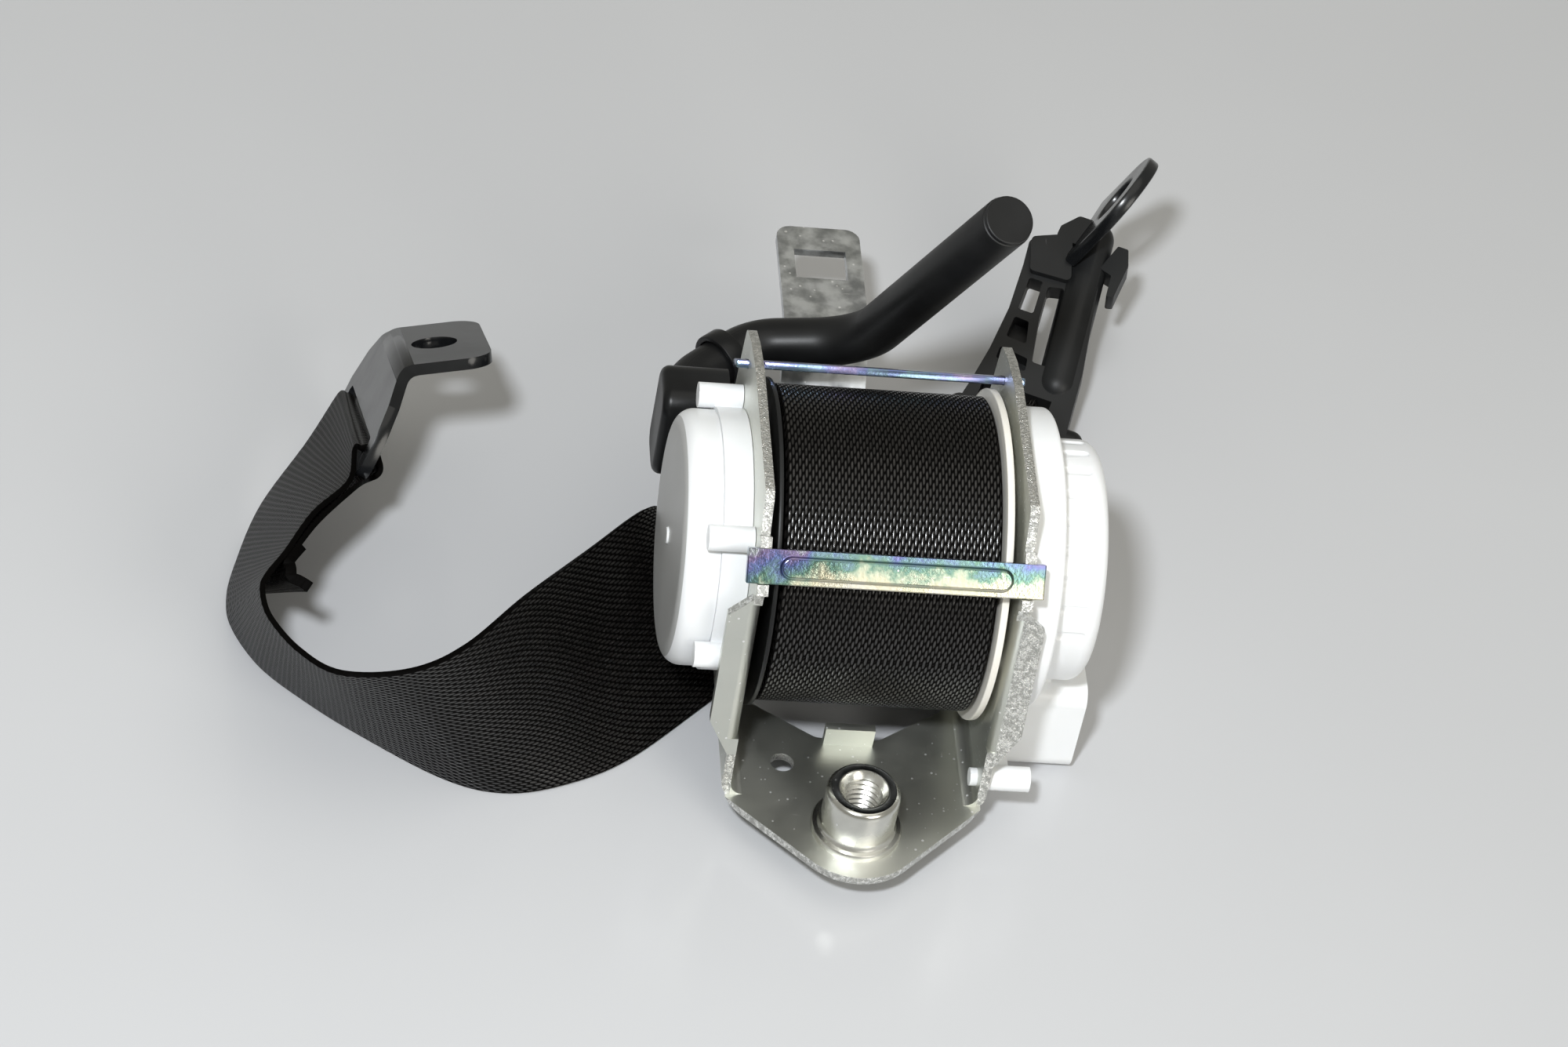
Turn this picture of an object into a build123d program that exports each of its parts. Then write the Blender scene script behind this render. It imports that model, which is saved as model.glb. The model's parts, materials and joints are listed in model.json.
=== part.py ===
from build123d import *
import os
from math import acos, atan2, cos, hypot, pi, radians, sin, tan

# Car seat belt with pretensioner, in millimetres. The retractor lies on its back plate.
# X runs along the spool axis, Y from the mounting nut to the hook tab, Z up from the back plate.
# The origin is on the nut's axis at the underside of the back plate.

# Surface that the belt lies on
floor_z = -8.0

# Webbing and the spool that carries it
web_width, web_t = 47.0, 1.2
roll_r = 34.5
core_r = 12.0
flange_r, flange_t = 36.4, 1.6
journal_r = 6.0
shaft_r = 4.0
torsion_r = 5.0
run_gap = 0.05              # running clearance on the radius
bush_r = 9.0

# Frame, a bent sheet
sheet = 2.0
bend_r = 3.0                # inside each bend
spool_room = 7.5            # side plates to webbing, both sides together
frame_inner = web_width + spool_room
spool_y, spool_z = 48.0, 40.0
nose_r = 14.5               # rounded tip round the nut
plate_front = 8.0           # where the side plates start
plate_back = 88.0
flange_out = 4.8            # front flanges turned outwards
flange_low, flange_top = 13.0, 56.0
flange_taper = (9.0, 4.5)   # corners cut at the foot and the top of a flange
flange_lean = 6.0           # the flanges lean back by this over their height
flange_bend_r = 2.6         # where a side plate turns out into its flange
ear_top = spool_z + 38.0    # top of the side plates
small_hole = (-15.0, 18.0, 2.6)     # X, Y and radius of the hole beside the nut
hook_width = 20.0
hook_end = 172.0
hook_rise = 21.0            # joggle of the hook tab
joggle = (120.0, 137.0)     # where it starts and ends along Y
hook_slot = (12.4, 10.0)

# Mounting nut, M10
nut_r, nut_height = 8.2, 12.5
nut_collar_r, nut_collar_t = 10.0, 2.0
nut_plug_r = 6.0            # the part pressed through the back plate
thread_minor_r = 4.25
thread_major_r, thread_lead = 5.35, 1.0     # the chamfer at the thread's mouth

# Tie bars between the side plates
lower_bar = (16.0, 64.5)    # centre in Y and Z
lower_bar_w, lower_bar_t = 7.6, 2.0
upper_bar = (73.0, 69.0)
upper_bar_w, upper_bar_t = 6.0, 1.8
emboss_w, emboss_h = 4.8, 0.9
bar_overhang = 2.6          # past the outer face of each side plate
nub_w, nub_h = 2.4, 3.0     # staked nubs that hold the lower bar
slot_gap = 0.1

# Locking side, under the ribbed cover
ratchet_r, ratchet_t, ratchet_teeth = 20.0, 3.6, 12
tooth_depth = 3.0
pilot_r, pilot_t, pilot_teeth = 21.5, 4.0, 36
cover_r, cover_depth = 26.5, 19.4
cover_wall = 1.6
rim_r, rim_depth = 33.0, 8.3
flute_count = 12
groove_r, groove_depth = 1.6, 0.6
foot_front, foot_back, foot_depth = 29.0, 82.0, 22.8
foot_top = 16.5
link_depth, link_top = 14.6, 34.0   # between the foot and the drum, behind the rim
arm_depth, arm_reach = 5.0, 9.6     # from the foot to the front peg
peg_r = 2.0
ball_r = 4.0
bowl_low, bowl_top, bowl_depth = 2.0, 4.4, 6.2

# Spring side
drum_r, drum_depth = 27.9, 8.2
base_r, base_depth = 28.6, 6.2
boss_r = 2.8
housing_front = spool_y + base_r + 3.4
spring_turns, spring_t = 5, 0.6
arbor_r = 6.0
pinion_r, pinion_t, pinion_teeth = 14.0, 3.4, 14

# Pretensioner tube
tube_r, tube_wall = 5.7, 1.2
tube_bends = (12.0, 14.0, 17.0)
ball_count = 5
clip_at = 31.0              # along the tube

# Webbing ends
plate_t = 2.6
anchor_slot = (web_width + 3.0, 4.2)
anchor_hole_r = 5.2
pillar_hole_r = 6.25

half_inner = frame_inner / 2
half_outer = half_inner + sheet
standing = (Align.CENTER, Align.CENTER, Align.MIN)


def across(sketch, x0, x1):
    """Extrude a sketch drawn in Y and Z from x0 to x1."""
    return Pos(x0, 0, 0) * extrude(Plane.YZ * sketch, x1 - x0)


def disc(r, x0, x1, y=spool_y, z=spool_z):
    return across(Pos(y, z) * Circle(r), x0, x1)


def ring(r, bore, x0, x1, y=spool_y, z=spool_z):
    return across(Pos(y, z) * (Circle(r) - Circle(bore)), x0, x1)


def smooth(points, r):
    """A closed outline with every corner rounded."""
    face = make_face(Polyline(*points, close=True))
    return fillet(face.vertices(), r)


def on_shaft(wheel, x0, x1):
    """Extrude a wheel's outline on the spool's shaft."""
    return across(Pos(spool_y, spool_z) * (wheel - Circle(shaft_r + run_gap)), x0, x1)


def toothed(root, tip, count, lean=0.0):
    """A wheel outline with straight flanks; lean tips each tooth to one side."""
    points = []
    pitch = 2 * pi / count
    for i in range(count):
        for r, share in ((root, -0.32), (tip, -0.12 + lean), (tip, 0.12 + lean), (root, 0.32)):
            a = (i + share) * pitch
            points.append((r * cos(a), r * sin(a)))
    return make_face(Polyline(*points, close=True))


# Frame
def nose_outline():
    """The back plate's front end: a round nose with straight flanks to the corners."""
    reach = hypot(half_outer, plate_front)
    a = atan2(plate_front, half_outer) - acos(nose_r / reach)
    x, y = nose_r * cos(a), nose_r * sin(a)
    left, right = (-half_outer, plate_front), (half_outer, plate_front)
    flanks = make_face(Polyline(left, (-x, y), (x, y), right, close=True))
    return flanks + Circle(nose_r)


def bar_block(centre, width, thick, half_length):
    out = Vector(0, centre[0] - spool_y, centre[1] - spool_z).normalized()
    plane = Plane(origin=(0, *centre), x_dir=(1, 0, 0), z_dir=out)
    return plane * Box(2 * half_length, width, thick)


def side_profile():
    outer = smooth(
        [(plate_front, 0), (plate_front + flange_lean, flange_top - 2), (13.4, 59.5), (20.2, 68.3),
         (24, ear_top), (62, ear_top), (72, ear_top - 2), (80, ear_top - 5), (81, 64),
         (plate_back - 6, 50), (plate_back - 6, 0)], 2.5)
    return outer - Pos(spool_y, spool_z) * Circle(bush_r)


def make_flange_blank(side):
    """A front flange: a leaning strip with its outer corners cut off."""
    foot, top = plate_front, plate_front + flange_lean
    edge = make_face(Polyline(
        (foot, 0), (foot + sheet, 0), (top + sheet, flange_top), (top, flange_top), close=True))
    outer = side * (half_outer + flange_out)
    strip = across(edge, min(side * half_inner, outer), max(side * half_inner, outer))
    low, high = flange_low + flange_taper[0], flange_top - flange_taper[1]
    front = make_face(Polyline(
        (side * half_inner, flange_low), (side * half_outer, flange_low), (outer, low), (outer, high),
        (side * half_outer, flange_top), (side * half_inner, flange_top), close=True))
    return strip & Plane.XZ * extrude(front, -40)


def flange_bend(side):
    """What is cut off the corner between a side plate and its flange to round it."""
    line = Vector(0, flange_lean, flange_top)
    start = Plane(origin=(side * half_inner, plate_front, 0), x_dir=(side, 0, 0), z_dir=line)
    into = flange_bend_r * (1 if start.y_dir.Y > 0 else -1)
    corner = Pos(flange_bend_r / 2, into / 2) * Rectangle(flange_bend_r, flange_bend_r)
    corner -= Pos(flange_bend_r, into) * Circle(flange_bend_r)
    low, high = flange_low + flange_taper[1], flange_top - 1
    return start * Pos(0, 0, low) * extrude(corner, high - low)


def bend_inside(side):
    """Fills the sharp corner between the back plate and a side plate to the bend's inner radius."""
    corner = side * (half_inner - bend_r)
    fill = Pos(corner + side * bend_r / 2, sheet + bend_r / 2) * Rectangle(bend_r, bend_r)
    fill -= Pos(corner, sheet + bend_r) * Circle(bend_r)
    front = Pos(0, plate_front / 2, 0) * Box(2 * half_outer + 2, plate_front, 2 * (sheet + bend_r))
    return Plane.XZ * extrude(fill, 6 - plate_back) - front


def bend_outside(side):
    outer_r = bend_r + sheet
    corner = side * (half_outer - outer_r)
    cut = Pos(corner + side * outer_r, 0) * Rectangle(2 * outer_r, 2 * outer_r)
    cut -= Pos(corner, outer_r) * Circle(outer_r)
    cut -= Pos(corner, 2 * outer_r) * Rectangle(6 * outer_r, 2 * outer_r)
    return Plane.XZ * extrude(cut, -plate_back)


def nubs(side):
    """Two small ears of a side plate, pressed round the lower bar."""
    out = Vector(0, lower_bar[0] - spool_y, lower_bar[1] - spool_z).normalized()
    plane = Plane(origin=(side * (half_inner + sheet / 2), *lower_bar), x_dir=(1, 0, 0), z_dir=out)
    offset = lower_bar_w / 2 + slot_gap + nub_w / 2
    return [plane * Pos(0, y, 0.2) * Box(sheet + 0.4, nub_w, nub_h) for y in (-offset, offset)]


def make_bracket():
    floor_centre = (plate_front + plate_back) / 2
    plate = nose_outline() + Pos(0, floor_centre) * Rectangle(2 * half_outer, plate_back - plate_front)
    window_x = half_inner - 5.2
    window = smooth([(-7, 26), (7, 26), (window_x, 36), (window_x, plate_back - 11),
                     (-window_x, plate_back - 11), (-window_x, 36)], 2.0)
    plate = plate - window - Circle(nut_plug_r) - Pos(*small_hole[:2]) * Circle(small_hole[2])
    body = extrude(plate, sheet)
    for side in (-1, 1):
        x0 = half_inner if side > 0 else -half_outer
        body += across(side_profile(), x0, x0 + sheet)
        body += bend_inside(side)
        body -= bend_outside(side)
        body += make_flange_blank(side)
        body -= flange_bend(side)
        body += nubs(side)
    body += hook()
    body += Pos(0, 26 - sheet / 2, 4.0) * Box(11, sheet, 6.0)
    for centre, w, t in ((lower_bar, lower_bar_w, lower_bar_t), (upper_bar, upper_bar_w, upper_bar_t)):
        body -= bar_block(centre, w + 2 * slot_gap, t + 2 * slot_gap, half_outer + 5)
    for y, z, _ in cover_pegs:
        body -= disc(peg_r + run_gap, half_inner - 1, half_outer + 1, y, z)
    return body


def hook():
    """Neck, joggle and slotted tab, bent up from the back plate."""
    run0, run1 = joggle
    profile = make_face(Polyline(
        (plate_back - 4, 0), (run0 + 0.7, 0), (run1 + 0.7, hook_rise), (hook_end, hook_rise),
        (hook_end, hook_rise + sheet), (run1 - 0.7, hook_rise + sheet), (run0 - 0.7, sheet),
        (plate_back - 4, sheet), close=True))
    wide = smooth([(-hook_width / 2 - 12, plate_back - 4), (hook_width / 2 + 12, plate_back - 4),
                   (hook_width / 2, plate_back + 12), (hook_width / 2, hook_end),
                   (-hook_width / 2, hook_end), (-hook_width / 2, plate_back + 12)], 3.5)
    plan = wide - Pos(0, hook_end - 13) * Rectangle(*hook_slot)
    return extrude(plan, hook_rise + sheet) & across(profile, -hook_width - 12, hook_width + 12)


def make_nut():
    body = Pos(0, 0, sheet) * extrude(Circle(nut_r), nut_height)
    body = fillet(body.edges().group_by(Axis.Z)[-1], 1.2)
    body += Pos(0, 0, sheet) * extrude(Circle(nut_collar_r), nut_collar_t)
    body += extrude(Circle(nut_plug_r - run_gap), sheet)
    top = sheet + nut_height
    body -= extrude(Circle(thread_minor_r), top)
    mouth = Cone(thread_minor_r, thread_major_r, thread_lead, align=standing)
    return body - Pos(0, 0, top - thread_lead) * mouth


def make_lower_bar():
    body = bar_block(lower_bar, lower_bar_w, lower_bar_t, half_outer + bar_overhang)
    out = Vector(0, lower_bar[0] - spool_y, lower_bar[1] - spool_z).normalized()
    plane = Plane(origin=(0, *lower_bar), x_dir=(1, 0, 0), z_dir=out)
    raised = Pos(0, 0, lower_bar_t / 2) * extrude(SlotOverall(frame_inner - 5, emboss_w), emboss_h)
    body += plane * fillet(raised.edges().group_by(Axis.Z)[-1], 0.6)
    return body


def make_upper_bar():
    return bar_block(upper_bar, upper_bar_w, upper_bar_t, half_outer + bar_overhang)


# Spool
def make_core():
    body = disc(core_r, -web_width / 2 - 2.0, web_width / 2 + 2.0)
    body += disc(journal_r, -half_outer - 1.0, half_outer + 1.0)
    return body - disc(torsion_r + run_gap, -40, 40)


def make_torsion_bar():
    body = disc(torsion_r, -half_outer - 1.0, half_outer + 1.0)
    waist = ring(torsion_r + 1, torsion_r - 1.5, -18, 18)
    body -= waist
    body += disc(shaft_r, -half_outer - drum_depth - base_depth + 2.6, half_outer + 11.5)
    return body


def flange_x(side):
    return side * (web_width / 2 + 0.5)


def make_flange(side):
    x0 = flange_x(side)
    x1 = x0 + side * (flange_t if side > 0 else 1.0)
    r = flange_r if side > 0 else flange_r - 0.6
    return ring(r, core_r + run_gap, min(x0, x1), max(x0, x1))


def make_roll():
    return ring(roll_r, core_r + run_gap, -web_width / 2, web_width / 2)


def make_bush(side):
    x0, x1 = half_inner - 0.4, half_outer + 0.4
    body = ring(bush_r - run_gap, journal_r + run_gap, x0, x1)
    body += ring(bush_r + 1.5, journal_r + run_gap, x1, x1 + 0.4)
    return body if side > 0 else mirror(body, Plane.YZ)


# Locking side
ratchet_x = half_outer + 1.2
pilot_x = ratchet_x + ratchet_t + 0.8


def make_ratchet():
    wheel = toothed(ratchet_r - tooth_depth, ratchet_r, ratchet_teeth, lean=0.18)
    return on_shaft(wheel, ratchet_x, ratchet_x + ratchet_t)


pawl_pivot = (spool_y - 18.4, spool_z - 18.0)


def make_pawl():
    """Pawl below the ratchet, its nose resting just clear of the teeth."""
    outline = smooth([(-4.0, -3.6), (4.0, -4.4), (16.5, -11.0), (22.0, -10.5), (23.0, -5.6), (21.6, -5.4),
                      (17.5, -8.0), (5.0, 1.6), (-3.2, 3.6)], 0.4)
    outline = outline - Circle(2.0 + run_gap)
    return across(Pos(*pawl_pivot) * outline, ratchet_x + 0.2, ratchet_x + ratchet_t - 0.2)


def make_pawl_pin():
    y, z = pawl_pivot
    return disc(2.0, half_outer + 0.1, ratchet_x + ratchet_t + 0.4, y, z)


def make_pilot():
    wheel = toothed(pilot_r - 1.4, pilot_r, pilot_teeth, lean=0.1)
    hub = ring(8.0, shaft_r + run_gap, pilot_x, pilot_x + pilot_t + 1.0)
    rim = across(Pos(spool_y, spool_z) * (wheel - Circle(pilot_r - 4.5)), pilot_x, pilot_x + pilot_t)
    web = ring(pilot_r - 4.0, shaft_r + run_gap, pilot_x, pilot_x + 1.2)
    return rim + web + hub


sensor_x = pilot_x + pilot_t / 2
cup_z = floor_z + 6.0


def make_sensor_housing():
    half = bowl_top + 0.8
    body = Pos(sensor_x, spool_y, cup_z + 1.5) * Box(2 * half, 17, 9)
    bowl = Pos(sensor_x, spool_y, cup_z) * Cone(bowl_low, bowl_top, bowl_depth, align=standing)
    ears = Box(1.6, 4, 12)
    for side in (-1, 1):
        ear = Pos(sensor_x + side * (half - 0.8), spool_y + 10.0, cup_z + 3.0) * ears
        body += ear
    return body - bowl


bowl_slope = atan2(bowl_top - bowl_low, bowl_depth)
ball_z = cup_z + ball_r / sin(bowl_slope) - bowl_low / tan(bowl_slope) + 0.1


def make_sensor_ball():
    return Pos(sensor_x, spool_y, ball_z) * Sphere(ball_r)


lever_pivot = (spool_y + 10.2, ball_z + ball_r - 1.4)


def make_sensor_lever():
    arm = smooth([(-18.6, 2.4), (-18.6, 8.6), (-17.2, 8.6), (-16.2, 3.6),
                  (1.4, 3.0), (1.4, -1.4), (-1.4, -1.4), (-4.4, 1.6)], 0.4)
    return across(Pos(*lever_pivot) * arm, sensor_x - 3.0, sensor_x + 3.0)


# pegs pressed through the side plate: Y, Z and length from the plate
cover_pegs = (
    (20.5, 36.0, rim_depth - cover_wall + 0.2),
    (13.5, 5.6, arm_reach),
    (72.0, 10.0, foot_depth - cover_wall + 0.2),
)


def cover_foot(shrink=0.0):
    """The cover's lower block in Y and Z, down to the floor."""
    front, back = foot_front + shrink, foot_back - shrink
    low, top = floor_z + shrink, foot_top - shrink
    return smooth([(front, low), (back, low), (back, top), (front, top)], 4.0 - shrink)


def cover_link(shrink=0.0):
    """What joins the foot to the drum, in Y and Z."""
    front, back = foot_front + 4 + shrink, foot_back - 6 - shrink
    low, top = floor_z + 8 + shrink, link_top - shrink
    return smooth([(front, low), (back, low), (back, top), (front, top)], 3.0 - shrink)


def flutes(x0):
    """Scallops round the upper rim of the drum."""
    cuts = []
    reach = cover_r + groove_r - groove_depth
    for i in range(flute_count):
        a = radians(18 + i * 156 / (flute_count - 1))
        y, z = spool_y + reach * cos(a), spool_z + reach * sin(a)
        end = x0 + cover_depth - 4.5
        ball = Pos(end, y, z) * Rot(0, -90, 0) * Sphere(groove_r)
        cuts.append(disc(groove_r, x0 + rim_depth, end, y, z) + ball)
    return cuts


def rounded_disc(r, depth, x0, edge_r):
    return fillet(disc(r, x0, x0 + depth).edges().sort_by(Axis.X)[-1], edge_r)


def make_cover():
    x0 = half_outer + 0.1
    body = rounded_disc(cover_r, cover_depth, x0, 3.5) + rounded_disc(rim_r, rim_depth, x0, 1.0)
    body += across(cover_foot(), x0, x0 + foot_depth)
    body += across(cover_link(), x0, x0 + link_depth)
    body -= flutes(x0)
    body -= disc(cover_r - cover_wall - 1.4, x0, x0 + cover_depth - cover_wall)
    body -= disc(rim_r - cover_wall, x0, x0 + rim_depth - cover_wall)
    body -= across(cover_foot(cover_wall), x0, x0 + foot_depth - cover_wall)
    body -= across(cover_link(cover_wall), x0, x0 + link_depth - cover_wall)
    body -= bar_block(upper_bar, upper_bar_w + 0.6, upper_bar_t + 0.6, half_outer + bar_overhang + 0.3)
    arm_y, arm_z, _ = cover_pegs[1]
    arm = Pos((arm_y + foot_front + 1) / 2, arm_z) * Rectangle(foot_front + 1 - arm_y, 1.4 * peg_r)
    body += across(arm, x0, x0 + arm_depth)
    body += disc(1.4 * peg_r, x0, x0 + arm_reach, arm_y, arm_z)
    for y, z, reach in cover_pegs:
        body += disc(peg_r, half_inner - 1.6, x0 + reach, y, z)
    return body


# Spring side, mirrored from the locking side
def make_spring_base():
    x1 = -half_outer - 0.1
    x0 = x1 - base_depth
    body = disc(base_r, x0, x1)
    neck = Pos((spool_y + housing_front) / 2, spool_z - 3) * Rectangle(housing_front - spool_y - 0.1, 20)
    body += across(neck, x0, x1)
    for angle in (45, 135, 189, 315):
        a = radians(angle)
        y, z = spool_y + (base_r + 2.3) * cos(a), spool_z + (base_r + 2.3) * sin(a)
        body += disc(boss_r, x0 - 3.6, x1, y, z)
    body -= disc(17.0, x0 + 1.2, x1)
    body -= disc(shaft_r + 1.0, x0, x1)
    port = Pos((x0 + x1) / 2 + 0.6, spool_y + 26, spool_z - 6) * Box(base_depth - 1.2, 24, 9)
    return body - port


def make_spring_cover():
    x1 = -half_outer - 0.1 - base_depth
    x0 = x1 - drum_depth
    body = disc(drum_r, x0, x1)
    body = fillet(body.edges().sort_by(Axis.X)[0], 4.0)
    body -= disc(drum_r - 1.6, x0 + 1.6, x1)
    body += disc(1.8, x0 - 0.6, x0 + 1.0)
    return body


def make_spring():
    x1 = -half_outer - 0.1 - base_depth
    turns, r0, r1 = spring_turns, arbor_r + 1.2, drum_r - 2.6
    inner, outer = [], []
    steps = turns * 12
    for i in range(steps + 1):
        a = 2 * pi * turns * i / steps
        r = r0 + (r1 - r0) * i / steps
        inner.append((r * cos(a), r * sin(a)))
        outer.append(((r + spring_t) * cos(a), (r + spring_t) * sin(a)))
    a, b = Spline(*inner), Spline(*outer)
    face = make_face([a, b, Line(a @ 0, b @ 0), Line(a @ 1, b @ 1)])
    return across(Pos(spool_y, spool_z) * face, x1 - drum_depth + 2.0, x1 - 1.0)


def make_arbor():
    x1 = -half_outer - 0.1 - base_depth
    return ring(arbor_r, shaft_r + run_gap, x1 - drum_depth + 2.0, x1 - 0.6)


def make_pinion():
    x1 = -half_outer - 1.2
    wheel = toothed(pinion_r - 2.6, pinion_r, pinion_teeth)
    return on_shaft(wheel, x1 - pinion_t, x1)


# Pretensioner tube and housing
tube_route = ((-half_outer - 8.25, housing_front + 6, 33.0), (-half_outer - 6.75, housing_front + 26, 31.0),
              (-20.0, 119.0, 33.0), (4.5, 117.0, 37.5), (20.6, 74.5, 113.5))


def tube_wire():
    return FilletPolyline(*tube_route, radius=tube_bends)


def tube_end_plane():
    wire = tube_wire()
    return Plane(origin=wire @ 1, z_dir=wire % 1)


def make_tube():
    wire = tube_wire()
    start = Plane(origin=wire @ 0, z_dir=wire % 0)
    return sweep(start * (Circle(tube_r) - Circle(tube_r - tube_wall)), path=wire)


def make_generator():
    plane = tube_end_plane()
    inside = Pos(0, 0, -22) * extrude(Circle(tube_r - tube_wall - run_gap), 22)
    cap = extrude(Circle(tube_r - 0.3), 1.2)
    return plane * (inside + cap)


def make_piston():
    plane = tube_end_plane()
    return plane * Pos(0, 0, -36) * extrude(Circle(tube_r - tube_wall - run_gap), 9)


def make_drive_balls():
    wire = tube_wire()
    pitch = 2 * (tube_r - tube_wall - 0.3)
    balls = []
    for i in range(ball_count):
        at = wire @ ((8 + i * (pitch + 0.1)) / wire.length)
        balls.append(Pos(*at) * Sphere(pitch / 2))
    return Compound(children=balls)


def make_housing():
    body = Pos(-half_outer - 7.6, housing_front + 7.5, spool_z - 3) * Box(15, 15, 25)
    body = fillet(body.edges().filter_by(Axis.X), 5.0)
    body = fillet(body.faces().sort_by(Axis.X)[0].edges(), 2.0)
    wire = tube_wire()
    start = Plane(origin=wire @ 0, z_dir=wire % 0)
    bore = start * Pos(0, 0, -1) * extrude(Circle(tube_r + run_gap), 20)
    return body - bore


def make_clip():
    wire = tube_wire()
    s = clip_at / wire.length
    plane = Plane(origin=wire @ s, x_dir=(1, 0, 0), z_dir=wire % s)
    body = extrude(Circle(tube_r + 1.6) - Circle(tube_r + 0.25), 2.2, both=True)
    tab = Pos(0, tube_r + 3.2, 0) * Box(6.0, 5.0, 4.4)
    return plane * (body + tab)


# Webbing: each station is the foot edge, the head edge and the thickness of one cross-section
long_run = (
    ((-119.5, 107.0, 4.0), (-112.0, 68.0, 30.5), web_t),
    ((-129.0, 91.0, -1.0), (-120.0, 57.0, 31.0), web_t),
    ((-134.0, 76.0, -5.0), (-126.0, 45.0, 31.0), web_t),
    ((-136.0, 67.0, -7.0), (-129.5, 38.0, 31.0), web_t),
    ((-135.0, 59.0, -7.5), (-130.5, 32.5, 31.5), web_t),
    ((-129.0, 48.5, -7.5), (-129.0, 24.0, 32.0), web_t),
    ((-120.0, 39.5, -7.5), (-123.0, 15.0, 32.0), web_t),
    ((-108.0, 29.5, -7.5), (-114.0, 8.0, 33.5), web_t),
    ((-89.5, 17.6, -7.5), (-99.5, 7.0, 36.5), web_t),
    ((-75.7, 14.0, -7.5), (-87.7, 14.0, 37.4), web_t),
    ((-62.0, 17.0, -7.5), (-74.0, 33.0, 34.5), web_t),
    ((-47.7, 25.0, -7.5), (-59.5, 58.0, 23.5), web_t),
    ((-30.0, 42.5, -7.5), (-45.0, 77.0, 19.0), web_t),
    ((-16.0, 57.0, -7.4), (-35.5, 99.0, -2.4), web_t),
    ((-2.0, 65.0, -7.0), (-22.0, 107.5, -6.0), web_t),
    ((15.5, 78.5, -7.0), (-7.5, 118.5, -7.0), web_t),
    ((35.5, 96.5, -6.9), (18.5, 125.5, -6.9), 1.7),
    ((53.0, 119.8, -6.5), (35.0, 128.2, -6.5), 2.6),
)
short_run = (
    ((web_width / 2, 50.0, 4.6), (-web_width / 2, 50.0, 4.6), web_t),
    ((web_width / 2, 84.0, 4.6), (-web_width / 2, 84.0, 4.6), web_t),
    ((24.3, 86.5, 4.6), (-12.3, 107.5, 4.6), 1.4),
    ((30.0, 96.8, 4.4), (10.6, 119.2, 4.4), 1.9),
    ((46.8, 110.4, 4.0), (29.2, 123.6, 4.0), 2.6),
)
sewn_stations = 3
ply_gap = 1.7               # between the two plies, centre to centre
rope_w, rope_t = 16.0, 3.4      # the webbing bunched where it turns in the pillar loop


def section(foot, head, thick, travel, shift=0.0):
    """Rectangle from foot to head, its plane facing along the strap."""
    foot, head = Vector(*foot), Vector(*head)
    across_web = (head - foot).normalized()
    facing = (travel - across_web * travel.dot(across_web)).normalized()
    middle = (foot + head) * 0.5 + facing.cross(across_web) * shift
    return Plane(origin=middle, x_dir=across_web, z_dir=facing) * Rectangle((head - foot).length, thick)


def strap(stations, start=None, end=None, shift=0.0):
    """A ruled solid through the stations; start and end are its directions at the two ends."""
    middles = [(Vector(*foot) + Vector(*head)) * 0.5 for foot, head, _ in stations]
    last = len(stations) - 1
    faces = []
    for i, (foot, head, thick) in enumerate(stations):
        travel = middles[min(i + 1, last)] - middles[max(i - 1, 0)]
        if i == 0 and start:
            travel = start
        if i == last and end:
            travel = end
        faces.append(section(foot, head, thick, travel, shift if 0 < i else 0.0))
    return loft(faces, ruled=True)


# Anchor plate: a slotted leg and a bolted leg, bent along the slot's direction
anchor_bend = Vector(-101.5, 108.3, 32.8)
slot_dir = Vector(0.039, -0.867, 0.496).normalized()
bolt_leg = Vector(0.983, 0.120, 0.1325).normalized()
slot_leg_up = Vector(0.379, 0.472, 0.795).normalized()
slot_leg_length = 22.0      # from the bend to the middle of the slot's lower bar
slot_bar = 4.4
bolt_leg_length = 20.0
bolt_from_bend = 8.4
anchor_w = anchor_slot[0] + 10.0
bolt_leg_w = 36.0
shoulder = 7.0              # from the bend to where the slotted leg has widened
anchor_bend_r = 4.0
anchor_corner_r = 6.0

anchor_axis = anchor_bend - slot_leg_up * slot_leg_length
loop_r = 3.4                # inner radius of the webbing round the slot's bar


def leg_plane(origin, along):
    """Plane with X along the leg and Y along the slot."""
    return Plane(origin=origin, x_dir=along, z_dir=along.cross(slot_dir))


def rounding(x, y, r, side):
    """What is cut off an outer corner at x, y to round it to radius r."""
    corner = Pos(x, side * y) * Rectangle(2 * r, 2 * r)
    return corner - Pos(x - r, side * (y - r)) * Circle(r) - Pos(x - 2 * r, 0) * Rectangle(2 * r, 4 * y)


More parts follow.
